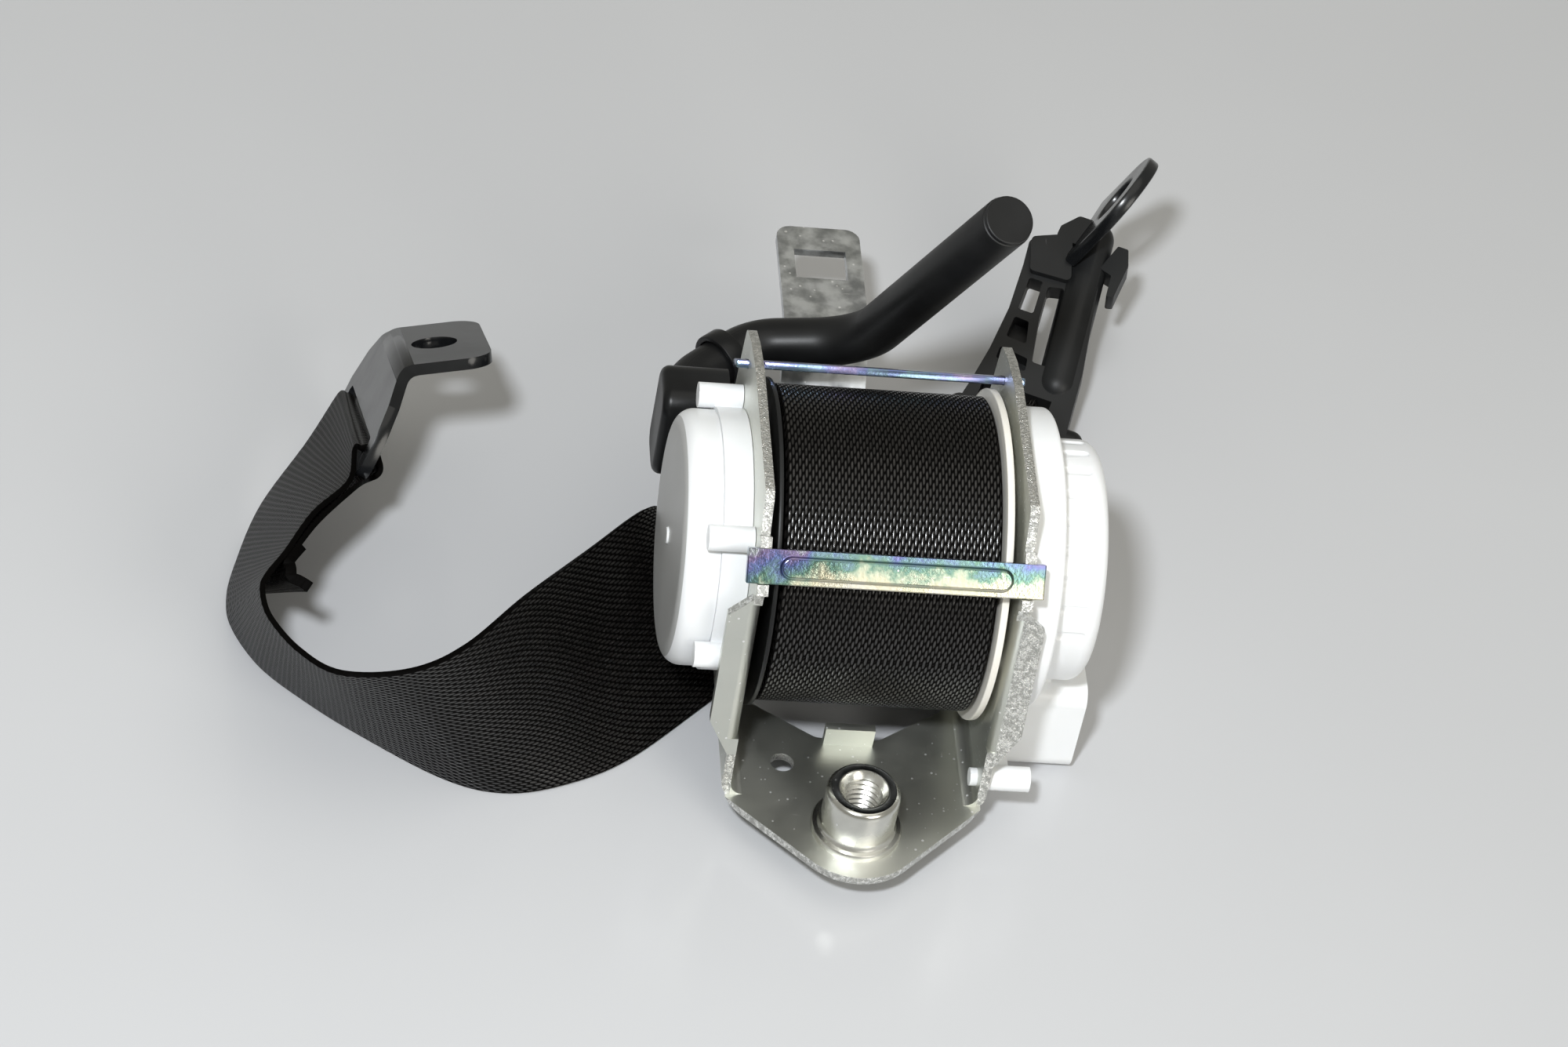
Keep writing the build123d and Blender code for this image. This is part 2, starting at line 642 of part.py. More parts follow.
def make_anchor_plate():
    bent = Plane(origin=anchor_bend, x_dir=slot_leg_up * -1, z_dir=slot_dir)
    slot_end = slot_leg_length + slot_bar / 2
    bolt_end = (bolt_leg.dot(bent.x_dir) * bolt_leg_length, bolt_leg.dot(bent.y_dir) * bolt_leg_length)
    middle_line = FilletPolyline((slot_end, 0), (0, 0), bolt_end, radius=anchor_bend_r)
    body = bent * extrude(trace(middle_line, plate_t), anchor_w / 2, both=True)
    slot_leg = leg_plane(anchor_bend, slot_leg_up * -1)
    flat = leg_plane(anchor_bend, bolt_leg)
    narrow, wide = bolt_leg_w / 2, anchor_w / 2
    slot_w, slot_h = anchor_slot
    cuts = Pos(slot_leg_length - slot_bar / 2 - slot_h / 2, 0) * RectangleRounded(slot_h, slot_w, 1.6)
    for side in (-1, 1):
        cuts += make_face(Polyline(
            (-40, side * narrow), (-0.5, side * narrow), (shoulder, side * (wide - 4)),
            (shoulder + 8, side * wide), (shoulder + 8, side * (wide + 1)),
            (-40, side * (wide + 1)), close=True))
        cuts += rounding(slot_end, wide, 4.0, side)
    body -= slot_leg * extrude(cuts, 40, both=True)
    ends = Pos(bolt_from_bend, 0) * Circle(anchor_hole_r)
    for side in (-1, 1):
        ends += rounding(bolt_leg_length, narrow, anchor_corner_r, side)
    return body - flat * extrude(ends, plate_t, both=True)


def anchor_loop():
    """Frame of the webbing loop in the slot: its axis along the slot, X along the strap."""
    foot, head, _ = long_run[0]
    run = anchor_axis - (Vector(*foot) + Vector(*head)) * 0.5
    run = (run - slot_dir * run.dot(slot_dir)).normalized()
    return Plane(origin=anchor_axis, x_dir=run, z_dir=slot_dir)


def loop_section(side):
    """The strap's cross-section where it leaves the slot loop on one side."""
    plane = anchor_loop()
    middle = plane.origin - plane.y_dir * side * (loop_r + web_t / 2)
    half = slot_dir * (web_width / 2)
    return middle - half, middle + half


def half_ring(inner, thick, width):
    """A half turn of webbing, extruded both ways along its axis."""
    outer = inner + thick
    turn = (Circle(outer) - Circle(inner)) & Pos(outer / 2, 0) * Rectangle(outer, 3 * outer)
    return extrude(turn, width / 2, both=True)


def make_anchor_turn():
    return anchor_loop() * half_ring(loop_r, web_t, web_width)


def make_long_run():
    foot, head = loop_section(-1)
    first = (tuple(foot), tuple(head), web_t)
    return strap((first,) + long_run + (rope_end(-1),), anchor_loop().x_dir * -1, rope_way())


def make_sewn_ply():
    """The end of the webbing, folded back and stitched to the run."""
    plane = anchor_loop()
    foot, head = loop_section(1)
    first = (tuple(foot), tuple(head), web_t)
    return strap((first,) + long_run[:sewn_stations], anchor_loop().x_dir * -1, shift=-ply_gap)


# Pillar loop: a ring in a tilted plane, with a smooth bar, a windowed rail and a bolted plate
ring_at = Vector(63.9, 136.6, 2.4)
ring_x = Vector(-0.922, 0.387, 0.0).normalized()
ring_y = Vector(0.354, 0.844, 0.404).normalized()
ring_t = 6.0
turn_at = (15.0, -9.0)      # the bar that the webbing turns round, in the ring's plane
turn_r = 3.0
bar_r = 4.8
ring_plane = Plane(origin=ring_at, x_dir=ring_x, z_dir=ring_x.cross(ring_y))
turn_centre = ring_at + ring_x * turn_at[0] + ring_y * turn_at[1]


def rope_end(side):
    """The bunched webbing's cross-section above or below the loop's bar."""
    middle = turn_centre + Vector(0, 0, side * (turn_r + 0.3 + rope_t / 2))
    half = ring_x * (rope_w / 2)
    return tuple(middle - half), tuple(middle + half), rope_t


def rope_way():
    """Level direction in which the webbing reaches the loop's bar."""
    return Vector(-ring_x.Y, ring_x.X, 0) * -1


def make_pillar_turn():
    plane = Plane(origin=turn_centre, x_dir=rope_way(), z_dir=ring_x)
    return plane * half_ring(turn_r + 0.3, rope_t, rope_w)


def make_short_run():
    return strap(short_run + (rope_end(1),), Vector(0, 1, 0), rope_way())


def bar_between(start, end, r):
    """A round bar in the ring's plane with domed ends."""
    a, b = Vector(*start), Vector(*end)
    run = b - a
    body = Plane(origin=(a.X, a.Y, 0), z_dir=(run.X, run.Y, 0)) * extrude(Circle(r), run.length)
    return body + Pos(*start) * Sphere(r) + Pos(*end) * Sphere(r)


def guide_block(corners, half_t, r=0.8):
    """A rounded block standing out on both sides of the ring's plane."""
    return extrude(smooth(corners, r), half_t, both=True)


def make_guide():
    outline = smooth([(0, -12), (28, -12), (26.3, -3), (25, 6.4), (24.3, 18), (25, 30), (25.8, 37),
                      (16.5, 42), (10, 44), (6, 30), (2, 8)], 1.5)
    low = turn_at[1] + turn_r + 0.3 + rope_t + 0.6
    outline -= Pos(turn_at[0], low / 2 - 10) * Rectangle(rope_w + 1.2, low + 20)
    outline -= smooth([(10.5, 6.5), (14.4, 6.5), (16.6, 18), (17.4, 26.6), (13.5, 27.5)], 0.8)
    outline -= smooth([(18.4, 18.6), (22.2, 18.6), (22.4, 27.4), (19.0, 27.4)], 0.6)
    body = extrude(outline, ring_t / 2, both=True)
    for corners in ([(17.2, 10.4), (22.4, 10.8), (22.2, 16.4), (18.6, 16.2)],
                    [(15.0, 3.4), (22.8, 4.6), (22.8, 7.8), (15.6, 6.9)]):
        body -= Pos(0, 0, -ring_t / 2) * extrude(smooth(corners, 0.6), ring_t - 1.6)
    body += guide_block([(12.5, 29), (22.8, 28.4), (25.4, 37), (16.4, 41.2)], 5.0, 1.2)
    body += guide_block([(20.0, 39), (19.8, 42.4), (16.4, 46.4), (11, 46.4), (11, 39)], 4.6, 1.2)
    body += guide_block([(7.4, 35.5), (5.2, 42.6), (2.6, 42.6), (1.2, 38.5), (1.8, 29.4), (3.6, 29.0),
                         (4.2, 34.6)], 3.4, 0.5)
    body += bar_between((7.0, 4.0), (11.5, 43.5), bar_r)
    body += bar_between((-1.0, turn_at[1]), (27.0, turn_at[1]), turn_r)
    return ring_plane * body - make_pillar_plate(0.05)


pillar_foot = ring_at + ring_x * 13.5 + ring_y * 44.6
pillar_up = Vector(0.36, -0.164, 0.918).normalized()
pillar_side = Vector(0.46, 0.88, -0.02).normalized()
pillar_w = 26.0
pillar_hole_up = 14.0       # from the plate's foot to its bolt hole


def make_pillar_plate(clear=0.0):
    side = (pillar_side - pillar_up * pillar_side.dot(pillar_up)).normalized()
    plane = Plane(origin=pillar_foot, x_dir=side, z_dir=side.cross(pillar_up))
    outline = Pos(0, pillar_hole_up / 2) * Rectangle(pillar_w, pillar_hole_up)
    outline += Pos(0, pillar_hole_up) * Circle(pillar_w / 2)
    outline -= Pos(0, pillar_hole_up) * Circle(pillar_hole_r)
    return plane * extrude(outline, 1.5 + clear, both=True)


parts = {
    "frame_bracket": make_bracket,
    "mounting_nut": make_nut,
    "lower_tie_bar": make_lower_bar,
    "upper_tie_bar": make_upper_bar,
    "spool_core": make_core,
    "torsion_bar": make_torsion_bar,
    "spool_flange_left": lambda: make_flange(-1),
    "spool_flange_right": lambda: make_flange(1),
    "webbing_roll": make_roll,
    "bush_left": lambda: make_bush(-1),
    "bush_right": lambda: make_bush(1),
    "lock_ratchet": make_ratchet,
    "lock_pawl": make_pawl,
    "lock_pawl_pin": make_pawl_pin,
    "pilot_disc": make_pilot,
    "sensor_housing": make_sensor_housing,
    "sensor_ball": make_sensor_ball,
    "sensor_lever": make_sensor_lever,
    "mechanism_cover": make_cover,
    "spring_base": make_spring_base,
    "spring_cover": make_spring_cover,
    "return_spring": make_spring,
    "spring_arbor": make_arbor,
    "pretensioner_pinion": make_pinion,
    "pretensioner_tube": make_tube,
    "gas_generator": make_generator,
    "drive_piston": make_piston,
    "drive_balls": make_drive_balls,
    "pretensioner_housing": make_housing,
    "tube_clip": make_clip,
    "webbing_long_run": make_long_run,
    "webbing_short_run": make_short_run,
    "webbing_pillar_turn": make_pillar_turn,
    "webbing_anchor_turn": make_anchor_turn,
    "webbing_sewn_ply": make_sewn_ply,
    "anchor_plate": make_anchor_plate,
    "pillar_loop_guide": make_guide,
    "pillar_loop_plate": make_pillar_plate,
}

os.makedirs("parts", exist_ok=True)
for name, make in parts.items():
    solid = make()
    solid.label = name
    export_step(solid, f"parts/{name}.step")
    print(name, round(solid.volume, 1))
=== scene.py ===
import json
import math

import bmesh
import bpy
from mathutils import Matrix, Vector


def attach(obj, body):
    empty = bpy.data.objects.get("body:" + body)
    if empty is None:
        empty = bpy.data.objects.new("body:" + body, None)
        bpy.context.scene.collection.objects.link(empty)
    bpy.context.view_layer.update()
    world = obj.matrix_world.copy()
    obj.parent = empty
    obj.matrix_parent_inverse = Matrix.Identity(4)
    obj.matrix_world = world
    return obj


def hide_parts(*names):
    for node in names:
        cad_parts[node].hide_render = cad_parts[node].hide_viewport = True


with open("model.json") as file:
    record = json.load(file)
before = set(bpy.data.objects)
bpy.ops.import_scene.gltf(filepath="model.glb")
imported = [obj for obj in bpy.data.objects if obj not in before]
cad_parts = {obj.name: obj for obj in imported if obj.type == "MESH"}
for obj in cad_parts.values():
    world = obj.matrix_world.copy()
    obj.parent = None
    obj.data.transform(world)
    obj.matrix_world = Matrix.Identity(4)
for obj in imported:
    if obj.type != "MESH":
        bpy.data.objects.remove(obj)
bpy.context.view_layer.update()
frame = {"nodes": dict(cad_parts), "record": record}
cadNodes = frame["nodes"]
bodyOfNode = {n: b for b, members in frame["record"]["behaviour"]["bodies"].items() for n in members}
slotOfNode = {s["node"]: s["material_slot"] for s in frame["record"]["subparts"]}
mm = 0.001
print("frame loaded:", len(cadNodes), "CAD nodes")


# Camera, floor and light, in metres and degrees
studio = {
    "cameraPlace": (-0.1761, -0.7045, 0.7868),
    "cameraTurn": (45.443, -8.419, -3.577),
    "lens": 113.0,
    "nearClip": 0.02,
    "floorLevel": -0.008,
    "floorSize": 8.0,
    "lampAim": (0.0, 0.05, 0.03),
    "roomColour": (0.92, 0.90, 0.81, 1.0),
    "roomStrength": 0.36,
}
lamps = {
    "flash": {"place": (-0.30, -0.59, 0.93), "size": 0.10, "power": 11.5, "colour": (0.93, 0.965, 1.0)},
    "rightFill": {"place": (0.75, -1.25, 0.85), "size": 0.90, "power": 10.0, "colour": (1.0, 0.97, 0.90)},
    "ceiling": {"place": (0.25, -0.05, 1.7), "size": 1.6, "power": 5.2, "colour": (1.0, 0.97, 0.90)},
}


def clearSelection():
    if bpy.context.object and bpy.context.object.mode != "OBJECT":
        bpy.ops.object.mode_set(mode="OBJECT")
    bpy.ops.object.select_all(action="DESELECT")


def activate(piece):
    clearSelection()
    piece.select_set(True)
    bpy.context.view_layer.objects.active = piece


clearSelection()
bpy.ops.object.camera_add(
    location=studio["cameraPlace"],
    rotation=[math.radians(a) for a in studio["cameraTurn"]],
)
photoCamera = bpy.context.object
photoCamera.data.lens = studio["lens"]
photoCamera.data.clip_start = studio["nearClip"]
bpy.context.scene.camera = photoCamera
bpy.context.scene.view_settings.view_transform = "Standard"

for lampName, lamp in lamps.items():
    clearSelection()
    bpy.ops.object.light_add(type="AREA", location=lamp["place"])
    light = bpy.context.object
    light.name = lampName
    light.data.shape = "DISK"
    light.data.size = lamp["size"]
    light.data.energy = lamp["power"]
    light.data.color = lamp["colour"]
    aim = Vector(studio["lampAim"]) - Vector(lamp["place"])
    light.rotation_euler = aim.to_track_quat("-Z", "Y").to_euler()

clearSelection()
bpy.ops.mesh.primitive_plane_add(size=studio["floorSize"], location=(0, 0, studio["floorLevel"]))
floorPlane = bpy.context.object
floorPlane.name = "studioFloor"
bpy.ops.object.transform_apply(location=True)
print("camera, lamps and floor placed")


# Node helpers
def newGroup(name, inputs, outputs):
    group = bpy.data.node_groups.new(name, "ShaderNodeTree")
    for label, value in inputs.items():
        kind = "NodeSocketVector" if value is None else "NodeSocketFloat"
        kind = "NodeSocketColor" if isinstance(value, tuple) else kind
        socket = group.interface.new_socket(name=label, in_out="INPUT", socket_type=kind)
        if value is not None:
            socket.default_value = value
    for label, kind in outputs.items():
        group.interface.new_socket(name=label, in_out="OUTPUT", socket_type="NodeSocket" + kind)
    return group, group.nodes.new("NodeGroupInput").outputs, group.nodes.new("NodeGroupOutput").inputs


def connect(tree, value, socket):
    if isinstance(value, bpy.types.NodeSocket):
        tree.links.new(value, socket)
    elif hasattr(value, "__len__") and len(value) == 3 and socket.type == "RGBA":
        socket.default_value = (*value, 1.0)
    else:
        socket.default_value = value


def calc(tree, operation, first, second=0.0):
    node = tree.nodes.new("ShaderNodeMath")
    node.operation = operation
    for socket, value in zip(node.inputs, (first, second)):
        connect(tree, value, socket)
    return node.outputs[0]


def halfWave(tree, operation, share):
    return calc(tree, operation, calc(tree, "MULTIPLY", share, math.pi))


def vectorCalc(tree, operation, first, second=None):
    node = tree.nodes.new("ShaderNodeVectorMath")
    node.operation = operation
    tree.links.new(first, node.inputs[0])
    if second is not None:
        tree.links.new(second, node.inputs["Scale" if operation == "SCALE" else 1])
    return node.outputs[0]


def split(tree, vector):
    node = tree.nodes.new("ShaderNodeSeparateXYZ")
    tree.links.new(vector, node.inputs[0])
    return node.outputs


def stretch(tree, vector, scale):
    node = tree.nodes.new("ShaderNodeMapping")
    tree.links.new(vector, node.inputs["Vector"])
    node.inputs["Scale"].default_value = scale
    return node.outputs[0]


def cloud(tree, vector, scale, detail=3.0, roughness=0.5):
    node = tree.nodes.new("ShaderNodeTexNoise")
    tree.links.new(vector, node.inputs["Vector"])
    connect(tree, scale, node.inputs["Scale"])
    node.inputs["Detail"].default_value = detail
    node.inputs["Roughness"].default_value = roughness
    return node.outputs["Fac"]


def remap(tree, value, low, high, newLow=0.0, newHigh=1.0, smooth=True):
    node = tree.nodes.new("ShaderNodeMapRange")
    node.interpolation_type = "SMOOTHSTEP" if smooth else "LINEAR"
    for socket, number in zip(node.inputs[:5], (value, low, high, newLow, newHigh)):
        connect(tree, number, socket)
    return node.outputs[0]


def blendColour(tree, share, first, second):
    node = tree.nodes.new("ShaderNodeMix")
    node.data_type = "RGBA"
    # the colour sockets of this node are inputs 6 and 7 and output 2
    for place, value in ((0, share), (6, first), (7, second)):
        connect(tree, value, node.inputs[place])
    return node.outputs[2]


def colourRamp(tree, value, stops):
    node = tree.nodes.new("ShaderNodeValToRGB")
    tree.links.new(value, node.inputs[0])
    ramp = node.color_ramp
    while len(ramp.elements) < len(stops):
        ramp.elements.new(0.5)
    for element, (place, colour) in zip(ramp.elements, stops):
        element.position = place
        element.color = (*colour, 1.0)
    return node.outputs[0]


# Shared effects: each has its numbers beside it
grainLook = {"grain": (0.3, 0.7), "cloud": (0.32, 0.68), "cloudHeight": 0.6}


def makeGrainGroup():
    look = grainLook
    group, given, made = newGroup(
        "fineGrain", {"Vector": None, "Scale": 900.0, "Cloud Scale": 40.0},
        {"Grain": "Float", "Cloud": "Float", "Height": "Float"})
    grain = cloud(group, given["Vector"], given["Scale"], detail=4.0, roughness=0.6)
    mottle = cloud(group, given["Vector"], given["Cloud Scale"], detail=4.0, roughness=0.55)
    height = calc(group, "ADD", grain, calc(group, "MULTIPLY", mottle, look["cloudHeight"]))
    group.links.new(remap(group, grain, *look["grain"]), made["Grain"])
    group.links.new(remap(group, mottle, *look["cloud"]), made["Cloud"])
    group.links.new(height, made["Height"])
    return group


scuffLook = {
    "along": (1.0, 14.0, 4.0), "across": (11.0, 1.0, 5.0), "patchScale": 0.6, "patch": (0.42, 0.6),
    "limit": 0.82, "amountGain": 0.18, "fade": 0.07,
}


def makeScuffGroup():
    look = scuffLook
    group, given, made = newGroup(
        "scuffs", {"Vector": None, "Scale": 60.0, "Amount": 0.5}, {"Mask": "Float"})
    streaks = []
    for shape in (look["along"], look["across"]):
        stretched = stretch(group, given["Vector"], shape)
        streaks.append(cloud(group, stretched, given["Scale"], detail=3.0, roughness=0.6))
    lines = calc(group, "MAXIMUM", *streaks)
    patchScale = calc(group, "MULTIPLY", given["Scale"], look["patchScale"])
    patch = remap(group, cloud(group, given["Vector"], patchScale, detail=2.0), *look["patch"])
    lowering = calc(group, "MULTIPLY", given["Amount"], look["amountGain"])
    limit = calc(group, "SUBTRACT", look["limit"], lowering)
    lineMask = remap(group, lines, limit, calc(group, "ADD", limit, look["fade"]))
    group.links.new(calc(group, "MULTIPLY", lineMask, patch), made["Mask"])
    return group


filmLook = {
    "patchy": (0.3, 0.7, 0.32, 0.68),
    "bands": (  # film thickness and its colour
        (0.10, (0.58, 0.56, 0.50)), (0.26, (0.60, 0.56, 0.39)), (0.36, (0.42, 0.48, 0.36)),
        (0.46, (0.06, 0.20, 0.14)), (0.56, (0.08, 0.20, 0.28)), (0.66, (0.06, 0.10, 0.38)),
        (0.78, (0.18, 0.11, 0.32)), (0.92, (0.42, 0.46, 0.52))),
}


def makeFilmGroup():
    look = filmLook
    group, given, made = newGroup(
        "passivationFilm",
        {"Vector": None, "Scale": 30.0, "Strength": 0.5, "Bias": 0.0, "Metal": (0.6, 0.6, 0.6, 1.0)},
        {"Color": "Color"})
    clouds = cloud(group, given["Vector"], given["Scale"], detail=6.0, roughness=0.65)
    patchy = remap(group, clouds, *look["patchy"], smooth=False)
    bands = colourRamp(group, calc(group, "ADD", patchy, given["Bias"]), look["bands"])
    group.links.new(blendColour(group, given["Strength"], given["Metal"], bands), made["Color"])
    return group


dustLook = {"speckSize": 0.34}


def makeDustGroup():
    group, given, made = newGroup(
        "dustSpecks", {"Vector": None, "Scale": 420.0, "Amount": 0.1}, {"Mask": "Float"})
    cells = group.nodes.new("ShaderNodeTexVoronoi")
    group.links.new(given["Vector"], cells.inputs["Vector"])
    group.links.new(given["Scale"], cells.inputs["Scale"])
    chances = group.nodes.new("ShaderNodeSeparateColor")
    group.links.new(cells.outputs["Color"], chances.inputs[0])
    chosen = calc(group, "LESS_THAN", chances.outputs[0], given["Amount"])
    size = calc(group, "MULTIPLY", chances.outputs[1], dustLook["speckSize"])
    dot = calc(group, "LESS_THAN", cells.outputs["Distance"], size)
    group.links.new(calc(group, "MULTIPLY", dot, chosen), made["Mask"])
    return group


shearLook = {"fineScale": 3.1, "fineLift": 0.5, "fineHeight": 0.5, "glint": (0.42, 0.62)}


def makeShearGroup():
    look = shearLook
    group, given, made = newGroup(
        "shearedEdge", {"Vector": None, "Scale": 500.0}, {"Glint": "Float", "Height": "Float"})
    fineScale = calc(group, "MULTIPLY", given["Scale"], look["fineScale"])
    coarse = cloud(group, given["Vector"], given["Scale"], detail=4.0, roughness=0.7)
    fine = cloud(group, given["Vector"], fineScale, detail=2.0)
    torn = calc(group, "MULTIPLY", coarse, calc(group, "ADD", fine, look["fineLift"]))
    height = calc(group, "ADD", coarse, calc(group, "MULTIPLY", fine, look["fineHeight"]))
    group.links.new(remap(group, torn, *look["glint"]), made["Glint"])
    group.links.new(height, made["Height"])
    return group


weaveLook = {
    "driftScale": 90.0, "driftColumns": 0.16, "driftFloats": 0.2, "selvedge": (0.0001, 0.0004),
    "crownPower": 1.3, "glintPower": 2.0, "slopeAcross": -0.45, "slopeAlong": -0.12,
}


def makeWeaveGroup():
    look = weaveLook
    group, given, made = newGroup(
        "webbingWeave", {"Vector": None, "Yarn": 0.0007, "Float": 0.0027, "Width": 0.047, "Lean": 0.22},
        {"Crown": "Float", "Glint": "Float", "Normal": "Vector"})
    across, along = split(group, given["Vector"])[:2]
    drift = calc(group, "SUBTRACT", cloud(group, given["Vector"], look["driftScale"]), 0.5)

    # yarns side by side, fading out at the selvedge
    columnDrift = calc(group, "MULTIPLY", drift, look["driftColumns"])
    column = calc(group, "ADD", calc(group, "DIVIDE", across, given["Yarn"]), columnDrift)
    columnNumber = calc(group, "FLOOR", column)
    inColumn = calc(group, "FRACT", column)
    fromEdge = calc(group, "MINIMUM", across, calc(group, "SUBTRACT", given["Width"], across))
    inside = remap(group, fromEdge, *look["selvedge"])
    yarn = calc(group, "MULTIPLY", halfWave(group, "SINE", inColumn), inside)

    # floats along each yarn, every other yarn half a float on
    stagger = calc(group, "MULTIPLY", calc(group, "MODULO", columnNumber, 2.0), 0.5)
    lean = calc(group, "MULTIPLY", calc(group, "SUBTRACT", inColumn, 0.5), given["Lean"])
    floats = calc(group, "DIVIDE", along, given["Float"])
    floats = calc(group, "ADD", floats, calc(group, "ADD", stagger, lean))
    floats = calc(group, "ADD", floats, calc(group, "MULTIPLY", drift, look["driftFloats"]))
    inFloat = calc(group, "FRACT", floats)
    rise = calc(group, "POWER", halfWave(group, "SINE", inFloat), look["crownPower"])
    crown = calc(group, "MULTIPLY", yarn, rise)
    group.links.new(crown, made["Crown"])

    # a chance for each float to glint: a painted highlight that lightens its colour, not its shine
    cell = group.nodes.new("ShaderNodeCombineXYZ")
    group.links.new(columnNumber, cell.inputs[0])
    group.links.new(calc(group, "FLOOR", floats), cell.inputs[1])
    chance = group.nodes.new("ShaderNodeTexWhiteNoise")
    chance.noise_dimensions = "2D"
    group.links.new(cell.outputs[0], chance.inputs[0])
    glint = calc(group, "MULTIPLY", calc(group, "POWER", crown, look["glintPower"]), chance.outputs[0])
    group.links.new(glint, made["Glint"])

    # the surface leans with the slope of the yarn and of the float
    steepness = calc(group, "MULTIPLY", inside, look["slopeAcross"])
    slopeAcross = calc(group, "MULTIPLY", halfWave(group, "COSINE", inColumn), steepness)
    slopeAlong = calc(group, "MULTIPLY", halfWave(group, "COSINE", inFloat), look["slopeAlong"])
    surface = group.nodes.new("ShaderNodeNewGeometry").outputs["Normal"]
    tangent = group.nodes.new("ShaderNodeTangent")
    tangent.direction_type = "UV_MAP"
    tangent.uv_map = "webUV"
    sideways = vectorCalc(group, "CROSS_PRODUCT", surface, tangent.outputs[0])
    leanAcross = vectorCalc(group, "SCALE", tangent.outputs[0], slopeAcross)
    leanAlong = vectorCalc(group, "SCALE", sideways, slopeAlong)
    tilted = vectorCalc(group, "ADD", surface, vectorCalc(group, "ADD", leanAcross, leanAlong))
    group.links.new(vectorCalc(group, "NORMALIZE", tilted), made["Normal"])
    return group


groups = {
    "grain": makeGrainGroup(), "scuff": makeScuffGroup(), "film": makeFilmGroup(),
    "shear": makeShearGroup(), "weave": makeWeaveGroup(), "dust": makeDustGroup(),
}
print("node groups built:", len(groups))


# Materials
def newMaterial(name):
    material = bpy.data.materials.new(name)
    material.use_nodes = True
    return material, material.node_tree, material.node_tree.nodes["Principled BSDF"].inputs


def objectPlace(tree):
    return tree.nodes.new("ShaderNodeTexCoord").outputs["Object"]


def useGroup(tree, effect, **values):
    node = tree.nodes.new("ShaderNodeGroup")
    node.node_tree = groups[effect]
    for label, value in values.items():
        connect(tree, value, node.inputs[label.replace("_", " ")])
    return node.outputs


def addBump(tree, shader, height, strength, distance):
    bump = tree.nodes.new("ShaderNodeBump")
    bump.inputs["Strength"].default_value = strength
    bump.inputs["Distance"].default_value = distance
    tree.links.new(height, bump.inputs["Height"])
    tree.links.new(bump.outputs[0], shader["Normal"])


metalLook = {
    "grain": 900.0, "cloud": 55.0, "film": 0.05, "filmScale": 30.0, "bias": None, "scuff": 0.5,
    "scuffScale": 70.0, "specks": 0.02, "speckScale": 900.0, "pale": 1.35, "palest": 0.9,
    "wornRough": 0.14, "bump": 0.08, "bumpDepth": 0.0002, "barEnd": (-0.014, -0.026),
}


def filmBias(tree, place, look):
    # the film's thickness changes across the bar and towards its left end
    bias = look["bias"]
    x, y, z = split(tree, place)
    yStep, zStep = bias["across"]
    height = calc(tree, "ADD", calc(tree, "MULTIPLY", y, yStep), calc(tree, "MULTIPLY", z, zStep))
    acrossShare = calc(tree, "MULTIPLY", calc(tree, "SUBTRACT", height, bias["centre"]), bias["gain"])
    leftEnd = remap(tree, x, *look["barEnd"], 0.0, bias["left"])
    return calc(tree, "ADD", acrossShare, calc(tree, "ADD", leftEnd, bias["shift"]))


def metalMaterial(name, ownLook):
    look = {**metalLook, **ownLook}
    material, tree, shader = newMaterial(name)
    place = objectPlace(tree)
    grain = useGroup(tree, "grain", Vector=place, Scale=look["grain"], Cloud_Scale=look["cloud"])
    base = blendColour(tree, grain["Cloud"], look["dark"], look["light"])
    bias = filmBias(tree, place, look) if look["bias"] else 0.0
    film = useGroup(
        tree, "film", Vector=place, Scale=look["filmScale"], Strength=look["film"], Bias=bias, Metal=base)
    scuff = useGroup(tree, "scuff", Vector=place, Scale=look["scuffScale"], Amount=look["scuff"])
    specks = useGroup(tree, "dust", Vector=place, Scale=look["speckScale"], Amount=look["specks"])
    worn = calc(tree, "MAXIMUM", scuff["Mask"], specks["Mask"])
    pale = tuple(min(c * look["pale"], look["palest"]) for c in look["light"])
    tree.links.new(blendColour(tree, worn, film["Color"], pale), shader["Base Color"])
    rough = remap(tree, grain["Cloud"], 0, 1, *look["rough"])
    rough = calc(tree, "ADD", rough, calc(tree, "MULTIPLY", worn, look["wornRough"]))
    tree.links.new(rough, shader["Roughness"])
    shader["Metallic"].default_value = 1.0
    addBump(tree, shader, grain["Height"], look["bump"], look["bumpDepth"])
    return material


def shearedMaterial(name, look):
    material, tree, shader = newMaterial(name)
    shear = useGroup(tree, "shear", Vector=objectPlace(tree), Scale=look["scale"])
    tree.links.new(blendColour(tree, shear["Glint"], look["dark"], look["light"]), shader["Base Color"])
    tree.links.new(remap(tree, shear["Glint"], 0, 1, *look["rough"]), shader["Roughness"])
    shader["Metallic"].default_value = 1.0
    addBump(tree, shader, shear["Height"], look["bump"], look["bumpDepth"])
    return material


plasticLook = {
    "grain": 1400.0, "cloud": 28.0, "scuff": 0.45, "scuffScale": 85.0, "dust": 0.0,
    "dustColour": (0.3, 0.3, 0.3), "dustRough": 0.4, "scatter": 0.0,
    "scatterReach": (0.004, 0.0042, 0.0045), "specular": 0.5, "bump": 0.05, "bumpDepth": 0.0002,
}


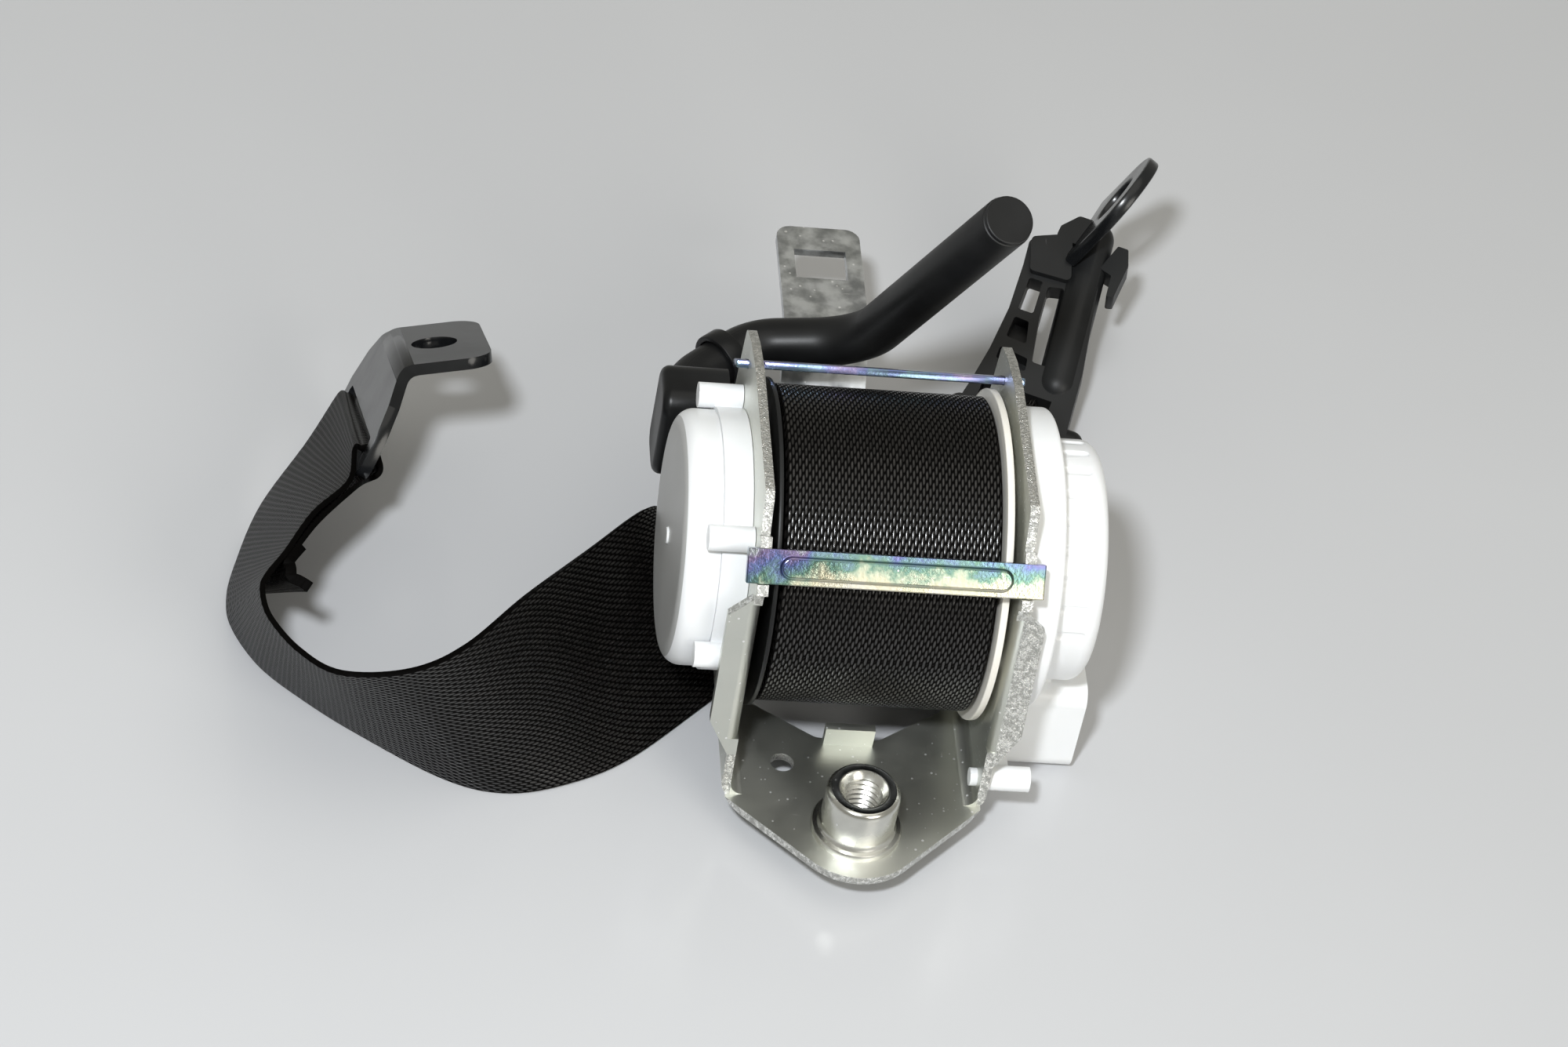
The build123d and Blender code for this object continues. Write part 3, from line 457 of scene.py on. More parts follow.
def plasticMaterial(name, ownLook):
    look = {**plasticLook, **ownLook}
    material, tree, shader = newMaterial(name)
    place = objectPlace(tree)
    grain = useGroup(tree, "grain", Vector=place, Scale=look["grain"], Cloud_Scale=look["cloud"])
    scuff = useGroup(tree, "scuff", Vector=place, Scale=look["scuffScale"], Amount=look["scuff"])
    base = blendColour(tree, grain["Cloud"], look["dark"], look["light"])
    haze = calc(tree, "MULTIPLY", scuff["Mask"], look["dust"])
    tree.links.new(blendColour(tree, haze, base, look["dustColour"]), shader["Base Color"])
    rough = remap(tree, grain["Cloud"], 0, 1, *look["rough"])
    rough = calc(tree, "ADD", rough, calc(tree, "MULTIPLY", haze, look["dustRough"]))
    tree.links.new(rough, shader["Roughness"])
    shader["Subsurface Weight"].default_value = look["scatter"]
    shader["Subsurface Radius"].default_value = look["scatterReach"]
    shader["Specular IOR Level"].default_value = look["specular"]
    addBump(tree, shader, grain["Height"], look["bump"], look["bumpDepth"])
    return material


def webbingMaterial(name, look):
    material, tree, shader = newMaterial(name)
    uvPlace = tree.nodes.new("ShaderNodeUVMap")
    uvPlace.uv_map = "webUV"
    weave = useGroup(tree, "weave", Vector=uvPlace.outputs[0])
    scuff = useGroup(
        tree, "scuff", Vector=objectPlace(tree), Scale=look["scuffScale"], Amount=look["scuff"])
    # painted highlight: the float tops are painted lighter than the yarn's deep black, and some tops get a
    # painted glint on top of that
    body = blendColour(tree, weave["Crown"], look["deep"], look["crest"])
    paintedGlint = blendColour(tree, weave["Glint"], body, look["glint"])
    haze = calc(tree, "MULTIPLY", scuff["Mask"], look["dust"])
    tree.links.new(blendColour(tree, haze, paintedGlint, look["dustColour"]), shader["Base Color"])
    tree.links.new(remap(tree, weave["Crown"], *look["rough"]), shader["Roughness"])
    tree.links.new(remap(tree, weave["Crown"], *look["specular"]), shader["Specular IOR Level"])
    tree.links.new(weave["Normal"], shader["Normal"])
    return material


def floorMaterial(name, look):
    material, tree, shader = newMaterial(name)
    grain = useGroup(
        tree, "grain", Vector=objectPlace(tree), Scale=look["grain"], Cloud_Scale=look["cloud"])
    tree.links.new(blendColour(tree, grain["Cloud"], look["dark"], look["light"]), shader["Base Color"])
    tree.links.new(remap(tree, grain["Grain"], 0, 1, *look["rough"]), shader["Roughness"])
    shader["Specular IOR Level"].default_value = look["specular"]
    return material


barMetal = {
    "dark": (0.42, 0.46, 0.48), "light": (0.66, 0.68, 0.64), "rough": (0.14, 0.30), "grain": 1300.0,
    "bump": 0.16,
}
finishes = {
    "zinc": metalMaterial("brightZinc", {
        "dark": (0.64, 0.645, 0.60), "light": (0.74, 0.74, 0.68), "rough": (0.38, 0.48),
        "film": 0.06, "filmScale": 16.0, "cloud": 24.0, "specks": 0.14, "speckScale": 1100.0}),
    "zincBlotched": metalMaterial("blotchedZinc", {
        "dark": (0.40, 0.41, 0.42), "light": (0.80, 0.81, 0.82), "rough": (0.28, 0.46),
        "film": 0.06, "filmScale": 60.0, "grain": 500.0, "cloud": 170.0, "specks": 0.12}),
    "sheared": shearedMaterial("shearedSteel", {
        "dark": (0.46, 0.46, 0.44), "light": (0.92, 0.92, 0.89), "rough": (0.5, 0.22),
        "scale": 1050.0, "bump": 0.7, "bumpDepth": 0.0006}),
    "lowerBar": metalMaterial("lowerBarFilm", {
        **barMetal, "film": 0.80, "filmScale": 150.0, "specks": 0.05,
        "bias": {"across": (0.608, 0.794), "centre": 0.06094, "gain": 55.0, "left": 0.24, "shift": -0.12}}),
    "upperBar": metalMaterial("upperBarFilm", {
        **barMetal, "film": 0.75, "filmScale": 120.0, "specks": 0.03,
        "bias": {"across": (0.65, 0.76), "centre": 0.09989, "gain": 30.0, "left": 0.06, "shift": 0.14}}),
    "nut": metalMaterial("platedNut", {
        "dark": (0.60, 0.59, 0.55), "light": (0.82, 0.81, 0.76), "rough": (0.20, 0.32),
        "film": 0.05, "filmScale": 60.0}),
    "nutFace": metalMaterial("nutFace", {
        "dark": (0.16, 0.165, 0.17), "light": (0.34, 0.345, 0.35), "rough": (0.20, 0.34),
        "specks": 0.10, "speckScale": 1300.0}),
    "darkSteel": metalMaterial("hardenedSteel", {
        "dark": (0.16, 0.16, 0.165), "light": (0.34, 0.34, 0.35), "rough": (0.22, 0.38)}),
    "cast": metalMaterial("castAlloy", {
        "dark": (0.42, 0.42, 0.42), "light": (0.60, 0.60, 0.59), "rough": (0.38, 0.55),
        "grain": 700.0, "bump": 0.2}),
    "white": plasticMaterial("whitePlastic", {
        "dark": (0.82, 0.83, 0.84), "light": (0.86, 0.87, 0.875), "rough": (0.30, 0.40),
        "bump": 0.04, "scatter": 0.25, "dust": 0.10, "dustColour": (0.62, 0.63, 0.64)}),
    # painted shade: a greyer white for the spring cover's round face
    "capShadeFace": plasticMaterial("capShadeFace", {
        "dark": (0.43, 0.43, 0.42), "light": (0.48, 0.48, 0.47), "rough": (0.30, 0.40),
        "bump": 0.04, "scatter": 0.25}),
    "cream": plasticMaterial("creamPlastic", {
        "dark": (0.79, 0.76, 0.69), "light": (0.84, 0.82, 0.76), "rough": (0.34, 0.44),
        "bump": 0.04, "scatter": 0.2}),
    "blackPlastic": plasticMaterial("blackPlastic", {
        "dark": (0.005, 0.0052, 0.0055), "light": (0.011, 0.0115, 0.012), "rough": (0.34, 0.46),
        "bump": 0.07, "grain": 1100.0, "dust": 0.2, "specular": 0.28}),
    "tube": plasticMaterial("satinBlackTube", {
        "dark": (0.005, 0.0051, 0.0053), "light": (0.011, 0.0112, 0.0116), "rough": (0.38, 0.48),
        "grain": 1500.0, "dust": 0.35, "dustColour": (0.10, 0.10, 0.10), "specular": 0.28}),
    "coat": plasticMaterial("blackCoat", {
        "dark": (0.004, 0.0043, 0.0047), "light": (0.009, 0.0097, 0.011), "rough": (0.16, 0.26),
        "grain": 700.0, "dust": 0.2, "specular": 0.40}),
    # crest is a painted highlight on the float tops over the deep black of the yarn, and glint a painted
    # glint on some of them
    "web": webbingMaterial("blackWebbing", {
        "deep": (0.0012, 0.0010, 0.0009), "crest": (0.0040, 0.0035, 0.0032),
        "glint": (0.017, 0.015, 0.014), "scuff": 0.35, "scuffScale": 45.0, "dust": 0.35,
        "dustColour": (0.10, 0.095, 0.09), "rough": (0.1, 0.8, 0.60, 0.22),
        "specular": (0.15, 0.7, 0.03, 0.65)}),
    "thread": plasticMaterial("blackThread", {
        "dark": (0.006, 0.006, 0.006), "light": (0.02, 0.02, 0.02), "rough": (0.45, 0.6), "bump": 0.2}),
    "floor": floorMaterial("paleFloor", {
        "dark": (0.52, 0.525, 0.54), "light": (0.54, 0.545, 0.56), "rough": (0.16, 0.20),
        "grain": 600.0, "cloud": 3.0, "specular": 0.4}),
}
floorPlane.data.materials.append(finishes["floor"])

world = bpy.data.worlds.new("paleRoom")
bpy.context.scene.world = world
world.use_nodes = True
worldShade = world.node_tree.nodes["Background"]
worldShade.inputs["Color"].default_value = studio["roomColour"]
worldShade.inputs["Strength"].default_value = studio["roomStrength"]
print("materials built:", len(finishes))


# Rigid nodes: edges softened on a merged copy
edgeSizes = {  # metres and degrees
    "mergeWithin": 0.000002, "flatWithin": 0.5, "bevelAbove": 38, "segments": 2, "smoothBelow": 34,
    "wideFace": 0.0034, "manyCorners": 8,
}


def finishPiece(piece, body, slot, materials, *standsFor):
    piece.data.materials.clear()
    for name in materials:
        piece.data.materials.append(finishes[name])
    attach(piece, body)
    if standsFor:
        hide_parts(*standsFor)


def applyAll(piece):
    activate(piece)
    for modifier in list(piece.modifiers):
        bpy.ops.object.modifier_apply(modifier=modifier.name)


def mergedCopy(node):
    clearSelection()
    piece = bpy.data.objects.new(node.replace("_", "") + "Finish", cadNodes[node].data.copy())
    bpy.context.scene.collection.objects.link(piece)
    activate(piece)
    bpy.ops.object.mode_set(mode="EDIT")
    bpy.ops.mesh.select_all(action="SELECT")
    bpy.ops.mesh.customdata_custom_splitnormals_clear()
    bpy.ops.mesh.remove_doubles(threshold=edgeSizes["mergeWithin"])
    bpy.ops.mesh.dissolve_limited(angle_limit=math.radians(edgeSizes["flatWithin"]))
    bpy.ops.object.mode_set(mode="OBJECT")
    return piece


def addEdgeBevel(piece, name, width, angle):
    bevel = piece.modifiers.new(name, "BEVEL")
    bevel.width = width
    bevel.segments = edgeSizes["segments"]
    bevel.limit_method = "ANGLE"
    bevel.angle_limit = math.radians(angle)


def softenEdges(piece, width):
    activate(piece)
    if width:
        addEdgeBevel(piece, "softEdges", width, edgeSizes["bevelAbove"])
        applyAll(piece)
    bpy.ops.object.shade_smooth_by_angle(angle=math.radians(edgeSizes["smoothBelow"]))
    flattenWideFaces(piece)


def flattenWideFaces(piece):
    # a wide face is flat, so it takes no shading from the bend beside it
    points = piece.data.vertices
    for face in piece.data.polygons:
        corners = [points[i].co for i in face.vertices]
        longest = max((a - b).length for a, b in zip(corners, corners[1:] + corners[:1]))
        if face.area > edgeSizes["wideFace"] * longest or len(corners) > edgeSizes["manyCorners"]:
            face.use_smooth = False


# width of the softened edge in metres, then the finish
softNodes = {
    "upper_tie_bar": (0.00035, "upperBar"),
    "spool_core": (0.0003, "cast"),
    "torsion_bar": (0.0003, "darkSteel"),
    "spool_flange_left": (0.00025, "blackPlastic"),
    "spool_flange_right": (0.0003, "cream"),
    "bush_left": (0.0002, "cream"),
    "bush_right": (0.0002, "cream"),
    "lock_ratchet": (0.0003, "darkSteel"),
    "lock_pawl": (0.0003, "darkSteel"),
    "lock_pawl_pin": (0.0002, "darkSteel"),
    "pilot_disc": (0.0002, "blackPlastic"),
    "sensor_housing": (0.0002, "white"),
    "sensor_ball": (0.0, "nut"),
    "sensor_lever": (0.0002, "blackPlastic"),
    "mechanism_cover": (0.0005, "white"),
    "spring_base": (0.0006, "white"),
    "spring_cover": (0.0005, "white"),
    "return_spring": (0.00008, "darkSteel"),
    "spring_arbor": (0.0003, "white"),
    "pretensioner_pinion": (0.0003, "darkSteel"),
    "pretensioner_tube": (0.0004, "tube"),
    "gas_generator": (0.0003, "tube"),
    "drive_piston": (0.0003, "nut"),
    "drive_balls": (0.0, "nut"),
    "pretensioner_housing": (0.0009, "blackPlastic"),
    "tube_clip": (0.0004, "blackPlastic"),
    "anchor_plate": (0.0007, "coat"),
    "pillar_loop_guide": (0.0006, "blackPlastic"),
    "pillar_loop_plate": (0.0006, "coat"),
    "lower_tie_bar": (0.00045, "lowerBar"),
}
for node, (width, finish) in softNodes.items():
    piece = mergedCopy(node)
    softenEdges(piece, width)
    finishPiece(piece, bodyOfNode[node], slotOfNode[node], [finish], node)
print("softened nodes:", len(softNodes))


# Spring cover: its round face is painted greyer than its rim, as painted shade on that face
capSizes = {"facing": -0.8}


def shadeCapFace():
    piece = bpy.data.objects["springcoverFinish"]
    piece.data.materials.append(finishes["capShadeFace"])
    for face in piece.data.polygons:
        # faces turned to -x take the painted shade
        if face.normal.x < capSizes["facing"]:
            face.material_index = 1


shadeCapFace()
print("spring cover's face set")


# Frame: cut edges and the right flange look sheared, and the hook tab is blotched
bracketSizes = {
    "edge": 0.0003, "wallInner": 0.02725, "sheet": 0.002, "slack": 0.0003, "hookFrom": 0.117,
    "flangeFoot": 0.008, "flangeLean": 6 / 56, "flangeSpan": (0.014, 0.0555), "bendDepth": 0.0034,
    "flangeAbove": 0.008, "flangeBefore": 0.02,
    "cutFacing": 0.75, "flangeFacing": 0.7, "flangeFront": 0.6,  # cosines
}
bracketLooks = ["zinc", "sheared", "zincBlotched"]


def bracketLook(face):
    size = bracketSizes
    x, y, z = face.center
    nx, ny, nz = face.normal
    wall, sheet, slack = size["wallInner"], size["sheet"], size["slack"]
    inWall = wall - slack < abs(x) < wall + sheet + slack and z > sheet
    inPlate = -slack < z < sheet + slack
    low, high = size["flangeSpan"]
    front = size["flangeFoot"] + size["flangeLean"] * z
    atBend = low < z < high and y < front + size["bendDepth"]
    besideWall = abs(x) > wall + sheet - slack and abs(nx) < size["flangeFacing"]
    if besideWall and z > size["flangeAbove"] and y < size["flangeBefore"]:
        return "sheared" if x > 0 or abs(ny) < size["flangeFront"] else "zinc"
    if inWall and abs(nx) < size["cutFacing"] and not atBend:
        return "sheared"
    if inPlate and abs(nz) < size["cutFacing"]:
        return "sheared"
    return "zincBlotched" if y > size["hookFrom"] else "zinc"


def makeBracket():
    piece = mergedCopy("frame_bracket")
    softenEdges(piece, bracketSizes["edge"])
    finishPiece(piece, "retractor", slotOfNode["frame_bracket"], bracketLooks, "frame_bracket")
    for face in piece.data.polygons:
        face.material_index = bracketLooks.index(bracketLook(face))


makeBracket()
print("frame bracket finished")


# Turned pieces: a ring is extruded and resized through a profile of radius and height
def turnedPiece(name, profile, segments, weldWithin=0.000004):
    clearSelection()
    firstRadius, firstHeight = profile[0]
    bpy.ops.mesh.primitive_circle_add(vertices=segments, radius=firstRadius, fill_type="NOTHING")
    piece = bpy.context.object
    piece.name = name
    bpy.ops.object.mode_set(mode="EDIT")
    bpy.ops.mesh.select_all(action="SELECT")
    bpy.ops.transform.translate(value=(0, 0, firstHeight))
    for (radius, height), (nextRadius, nextHeight) in zip(profile, profile[1:]):
        bpy.ops.mesh.extrude_region_move(TRANSFORM_OT_translate={"value": (0, 0, nextHeight - height)})
        share = nextRadius / radius
        bpy.ops.transform.resize(value=(share, share, 1), center_override=(0, 0, 0))
    bpy.ops.mesh.select_all(action="SELECT")
    bpy.ops.mesh.remove_doubles(threshold=weldWithin)
    bpy.ops.mesh.normals_make_consistent(inside=False)
    bpy.ops.object.mode_set(mode="OBJECT")
    return piece


nutSizes = {
    "outer": [  # radius and height in millimetres, from the plug up over the top to the thread
        (5.95, 0.0), (5.95, 2.0), (9.97, 2.0), (9.97, 3.1), (9.7, 3.5), (8.75, 3.6), (8.6, 3.9),
        (8.3, 4.3), (8.2, 4.9), (8.2, 12.9), (8.12, 13.4), (7.9, 13.9), (7.55, 14.3), (7.15, 14.48),
        (6.9, 14.4), (5.75, 14.4), (5.62, 14.46), (5.35, 14.4), (4.95, 13.7)],
    "crest": 4.25, "root": 5.02, "pitch": 1.5, "threadTop": 13.4, "turns": 8,
    "flanks": (("crest", 0.45), ("crest", 0.6), ("root", 1.25), ("root", 1.4)),
    "mouth": [(4.25, 0.5), (4.6, 0.0)],
    "segments": 72, "smoothBelow": 34, "faceBand": (0.0055, 0.0071), "faceLevel": 0.0142,
}


def makeNut():
    size = nutSizes
    profile = list(size["outer"])
    for turn in range(size["turns"]):
        z = size["threadTop"] - turn * size["pitch"]
        profile += [(size[part], z - drop) for part, drop in size["flanks"]]
    profile += size["mouth"] + size["outer"][:1]
    piece = turnedPiece("mountingNut", [(r * mm, z * mm) for r, z in profile], size["segments"])
    bpy.ops.object.shade_smooth_by_angle(angle=math.radians(size["smoothBelow"]))
    finishPiece(piece, "retractor", slotOfNode["mounting_nut"], ["nut", "nutFace"], "mounting_nut")
    inner, outer = size["faceBand"]
    for face in piece.data.polygons:
        x, y, z = face.center
        if z > size["faceLevel"] and inner < math.hypot(x, y) < outer:
            face.material_index = 1


makeNut()
print("nut turned")


# Webbing: strips in metres, their paths in millimetres
webSizes = {
    "width": 0.047, "thick": 0.0012, "across": 20, "stepsPerStation": 9, "lookAhead": 0.05,
    "swell": 0.00024, "swellAlong": 1.7, "swellAcross": 3.0,
    "gatherFrom": 0.04, "gatherGain": 2.0, "gatherHeight": 0.0016, "gatherWaves": 7,
    "selvedge": 0.00045, "selvedgeAbove": 50,
}
longRun = (  # foot edge, head edge
    ((-119.5, 107.0, 4.0), (-112.0, 68.0, 30.5)), ((-129.0, 91.0, -1.0), (-120.0, 57.0, 31.0)),
    ((-134.0, 76.0, -5.0), (-126.0, 45.0, 31.0)), ((-136.0, 67.0, -7.0), (-129.5, 38.0, 31.0)),
    ((-135.0, 59.0, -7.5), (-130.5, 32.5, 31.5)), ((-129.0, 48.5, -7.5), (-129.0, 24.0, 32.0)),
    ((-120.0, 39.5, -7.5), (-123.0, 15.0, 32.0)), ((-108.0, 29.5, -7.5), (-114.0, 8.0, 33.5)),
    ((-89.5, 17.6, -7.5), (-99.5, 7.0, 36.5)), ((-75.7, 14.0, -7.5), (-87.7, 14.0, 37.4)),
    ((-62.0, 17.0, -7.5), (-74.0, 33.0, 34.5)), ((-47.7, 25.0, -7.5), (-59.5, 58.0, 23.5)),
    ((-30.0, 42.5, -7.5), (-45.0, 77.0, 19.0)), ((-16.0, 57.0, -7.4), (-35.5, 99.0, -2.4)),
    ((-2.0, 65.0, -7.0), (-22.0, 107.5, -6.0)), ((15.5, 78.5, -7.0), (-7.5, 118.5, -7.0)),
    ((35.5, 96.5, -6.9), (18.5, 125.5, -6.9)), ((53.0, 119.8, -6.5), (35.0, 128.2, -6.5)),
)
shortRun = (
    ((23.5, 50.0, 4.6), (-23.5, 50.0, 4.6)), ((23.5, 84.0, 4.6), (-23.5, 84.0, 4.6)),
    ((24.3, 86.5, 4.6), (-12.3, 107.5, 4.6)), ((30.0, 96.8, 4.4), (10.6, 119.2, 4.4)),
    ((46.8, 110.4, 4.0), (29.2, 123.6, 4.0)),
)
slotLoop = {  # the turn in the anchor plate's slot
    "axis": Vector((-109.844, 97.908, 15.296)), "along": Vector((0.039, -0.867, 0.496)).normalized(),
    "reach": 4.0, "halfWidth": 23.5,
}
pillarTurn = {  # the turn over the pillar loop's bar
    "axis": Vector((46.884, 134.813, -1.234)), "along": Vector((-0.922, 0.387, 0.0)).normalized(),
    "run": Vector((0.387, 0.922, 0.0)).normalized(), "up": Vector((0, 0, 1)),
    "reach": 5.0, "halfWidth": 8.0,
}
sewnSizes = {"stations": 3, "below": 1.7}
tailSizes = {  # the hemmed end
    "start": 0.6, "curlRadius": 3.4, "curlTo": 92, "curlSteps": 5, "straight": 3.0, "lift": 0.7,
    "lowest": -6.4, "thick": 0.0024, "stepsPerStation": 4,
}


def curvePoint(points, t):
    i = min(int(t), len(points) - 2)
    f = t - i
    a, b = points[i], points[i + 1]
    before = points[i - 1] if i > 0 else a * 2 - b
    after = points[i + 2] if i + 2 < len(points) else b * 2 - a
    slope = b - before
    bend = 2 * before - 5 * a + 4 * b - after
    twist = 3 * a - 3 * b + after - before
    return 0.5 * (2 * a + slope * f + bend * f * f + twist * f ** 3)


def stripRow(feet, heads, t, last):
    # the points of one row across the strip, and the row's middle
    size = webSizes
    foot, head = curvePoint(feet, t), curvePoint(heads, t)
    aheadAt = min(t + size["lookAhead"], last)
    behindAt = max(t - size["lookAhead"], 0)
    ahead = curvePoint(feet, aheadAt) + curvePoint(heads, aheadAt)
    behind = curvePoint(feet, behindAt) + curvePoint(heads, behindAt)
    side = (head - foot).normalized()
    facing = side.cross((ahead - behind).normalized()).normalized()
    squeeze = max(0.0, 1.0 - (head - foot).length / size["width"])
    gather = size["gatherHeight"] * min(squeeze * size["gatherGain"], 1.0)
    places = []
    for column in range(size["across"] + 1):
        s = column / size["across"]
        wave = 0.0
        if squeeze > size["gatherFrom"]:
            wave = gather * math.sin(s * math.pi * size["gatherWaves"])
        swell = size["swell"] * math.sin(t * size["swellAlong"] + s * size["swellAcross"])
        places.append(foot.lerp(head, s) + facing * (wave + swell))
    return places, (foot + head) / 2


def webStrip(name, stations, steps, thick=webSizes["thick"]):
    size = webSizes
    feet, heads = ([Vector(station[edge]) * mm for station in stations] for edge in (0, 1))
    rows = (len(stations) - 1) * steps
    mesh = bmesh.new()
    uvLayer = mesh.loops.layers.uv.new("webUV")
    grid, lengths, previous = [], [], None
    for row in range(rows + 1):
        places, middle = stripRow(feet, heads, row / steps, rows / steps)
        lengths.append(lengths[-1] + (middle - previous).length if lengths else 0.0)
        previous = middle
        grid.append([mesh.verts.new(place) for place in places])
    for row in range(rows):
        for column in range(size["across"]):
            corners = ((column, row), (column + 1, row), (column + 1, row + 1), (column, row + 1))
            face = mesh.faces.new([grid[r][c] for c, r in corners])
            face.smooth = True
            for loop, (c, r) in zip(face.loops, corners):
                loop[uvLayer].uv = (c / size["across"] * size["width"], lengths[r])
    data = bpy.data.meshes.new(name)
    mesh.to_mesh(data)
    mesh.free()
    strip = bpy.data.objects.new(name, data)
    bpy.context.scene.collection.objects.link(strip)
    ply = strip.modifiers.new("ply", "SOLIDIFY")
    ply.thickness = thick
    ply.offset = 0.0
    addEdgeBevel(strip, "selvedge", size["selvedge"], size["selvedgeAbove"])
    applyAll(strip)
    return strip, lengths[-1]


def slotDirections():
    along = slotLoop["along"]
    run = slotLoop["axis"] - (Vector(longRun[0][0]) + Vector(longRun[0][1])) / 2
    run = (run - along * run.dot(along)).normalized()
    return run, along.cross(run)


def turnStations(turn, run, up, count=9):
    stations = []
    side = turn["along"] * turn["halfWidth"]
    for i in range(count):
        angle = math.pi * i / (count - 1)
        centre = turn["axis"] + up * (turn["reach"] * math.cos(angle))
        centre += run * (turn["reach"] * math.sin(angle))
        stations.append((centre - side, centre + side))
    return stations


runDirection, upDirection = slotDirections()
slotStations = turnStations(slotLoop, runDirection, -upDirection)
sewn = []
for foot, head in longRun[:sewnSizes["stations"]]:
    drop = upDirection * -sewnSizes["below"]
    sewn.append((Vector(foot) + drop, Vector(head) + drop))


def tailStations():
    # along the sewn ply, then curled to the inside of the loop
    size = tailSizes
    mid, end = sewn[1], sewn[2]
    way = ((end[0] + end[1]) - (mid[0] + mid[1])).normalized()
    inward = (end[1] - end[0]).cross(way).normalized()
    if inward.dot(upDirection) > 0:
        inward.negate()
    rows = [tuple(a.lerp(b, size["start"]) + inward * size["lift"] for a, b in zip(mid, end))]
    for step in range(size["curlSteps"] + 1):
        angle = math.radians(size["curlTo"] * step / size["curlSteps"])
        move = way * size["curlRadius"] * math.sin(angle)
        move += inward * (size["lift"] + size["curlRadius"] * (1 - math.cos(angle)))
        rows.append(tuple(p + move for p in end))
    last = (way * math.cos(angle) + inward * math.sin(angle)) * size["straight"]
    rows.append(tuple(p + last for p in rows[-1]))
    for row in rows:
        row[0].z = max(row[0].z, size["lowest"])
    return rows


def pillarEnd(direction):
    # where a run meets the turn over the pillar loop's bar, above it or below it
    middle = pillarTurn["axis"] + pillarTurn["up"] * pillarTurn["reach"] * direction
    side = pillarTurn["along"] * pillarTurn["halfWidth"]
    return [(middle - side, middle + side)]


longStations = sewn[::-1] + slotStations + list(longRun) + pillarEnd(-1)
longStrip, longLength = webStrip("webbingLong", longStations, webSizes["stepsPerStation"])
tailStrip, tailLength = webStrip(
    "webbingTail", tailStations(), tailSizes["stepsPerStation"], tailSizes["thick"])
clearSelection()
tailStrip.select_set(True)
longStrip.select_set(True)
bpy.context.view_layer.objects.active = longStrip
bpy.ops.object.join()
finishPiece(
    longStrip, "retractor", "webbing", ["web"], "webbing_long_run", "webbing_anchor_turn", "webbing_sewn_ply")

pillarStations = turnStations(pillarTurn, pillarTurn["run"], pillarTurn["up"])
shortStations = list(shortRun) + pillarEnd(1) + pillarStations[1:]
shortStrip, shortLength = webStrip("webbingShort", shortStations, webSizes["stepsPerStation"])
finishPiece(shortStrip, "retractor", "webbing", ["web"], "webbing_short_run", "webbing_pillar_turn")
print("webbing lengths", round(longLength, 4), round(shortLength, 4))


# Stitching that holds the folded end
stitchSizes = {
    "radius": 0.00022, "length": 0.0019, "sides": 6, "middle": 0.6, "taper": 0.2, "tip": 0.35,
    "rows": (0.08, 0.15, 0.85, 0.92), "from": 0.3, "to": 1.5, "count": 11,
    "crossAt": (0.3, 0.42, 1.38, 1.5), "crossFrom": 0.08, "crossSpan": 0.84, "crossCount": 12,
    "lookAhead": 0.02, "lift": 0.62, "endFacing": 0.9,
}


def makeStitch():
    size = stitchSizes
    clearSelection()
    bpy.ops.mesh.primitive_cylinder_add(
        vertices=size["sides"], radius=size["radius"], depth=size["length"] * size["middle"],
        end_fill_type="NGON")
    stitch = bpy.context.object
    bpy.ops.object.mode_set(mode="EDIT")
    for side in (1, -1):
        bpy.ops.mesh.select_all(action="DESELECT")
        shape = bmesh.from_edit_mesh(stitch.data)
        for face in shape.faces:
            face.select_set(face.normal.z * side > size["endFacing"])
        bmesh.update_edit_mesh(stitch.data)
        taper = (0, 0, side * size["length"] * size["taper"])
        bpy.ops.mesh.extrude_region_move(TRANSFORM_OT_translate={"value": taper})
        bpy.ops.transform.resize(value=(size["tip"], size["tip"], 1))
    bpy.ops.object.mode_set(mode="OBJECT")
    return stitch


def sewnPlace(t, s):
    # a place on the sewn ply, and its directions along and across the webbing
    feet, heads = [v[0] for v in sewn], [v[1] for v in sewn]
    aheadAt = t + stitchSizes["lookAhead"]
    place = curvePoint(feet, t).lerp(curvePoint(heads, t), s)
    ahead = curvePoint(feet, aheadAt).lerp(curvePoint(heads, aheadAt), s)
    across = (curvePoint(heads, t) - curvePoint(feet, t)).normalized()
    along = (ahead - place).normalized()
    outward = across.cross(along)
    if outward.dot(upDirection) > 0:
        outward.negate()
    return (place + outward * stitchSizes["lift"]) * mm, along, across


def stitchPlaces():
    size = stitchSizes
    places = []
    for s in size["rows"]:
        for i in range(size["count"]):
            spot = sewnPlace(size["from"] + (size["to"] - size["from"]) * i / (size["count"] - 1), s)
            places.append((spot[0], spot[1]))
    for t in size["crossAt"]:
        for i in range(size["crossCount"]):
            spot = sewnPlace(t, size["crossFrom"] + size["crossSpan"] * i / (size["crossCount"] - 1))
            places.append((spot[0], spot[2]))
    return places


def makeStitching():
    master = makeStitch()
    copies = []
    for place, way in stitchPlaces():
        stitch = bpy.data.objects.new("stitch", master.data.copy())
        bpy.context.scene.collection.objects.link(stitch)
        stitch.location = place
        stitch.rotation_euler = way.to_track_quat("Z", "Y").to_euler()
        copies.append(stitch)
    clearSelection()
    bpy.data.objects.remove(master)
    for stitch in copies:
        stitch.select_set(True)
    bpy.context.view_layer.objects.active = copies[0]
    bpy.ops.object.transform_apply(location=True, rotation=True, scale=True)
    bpy.ops.object.join()
    seam = bpy.context.object
    seam.name = "sewnStitches"
    finishPiece(seam, "retractor", "webbing", ["thread"])


makeStitching()
print("webbing end stitched")


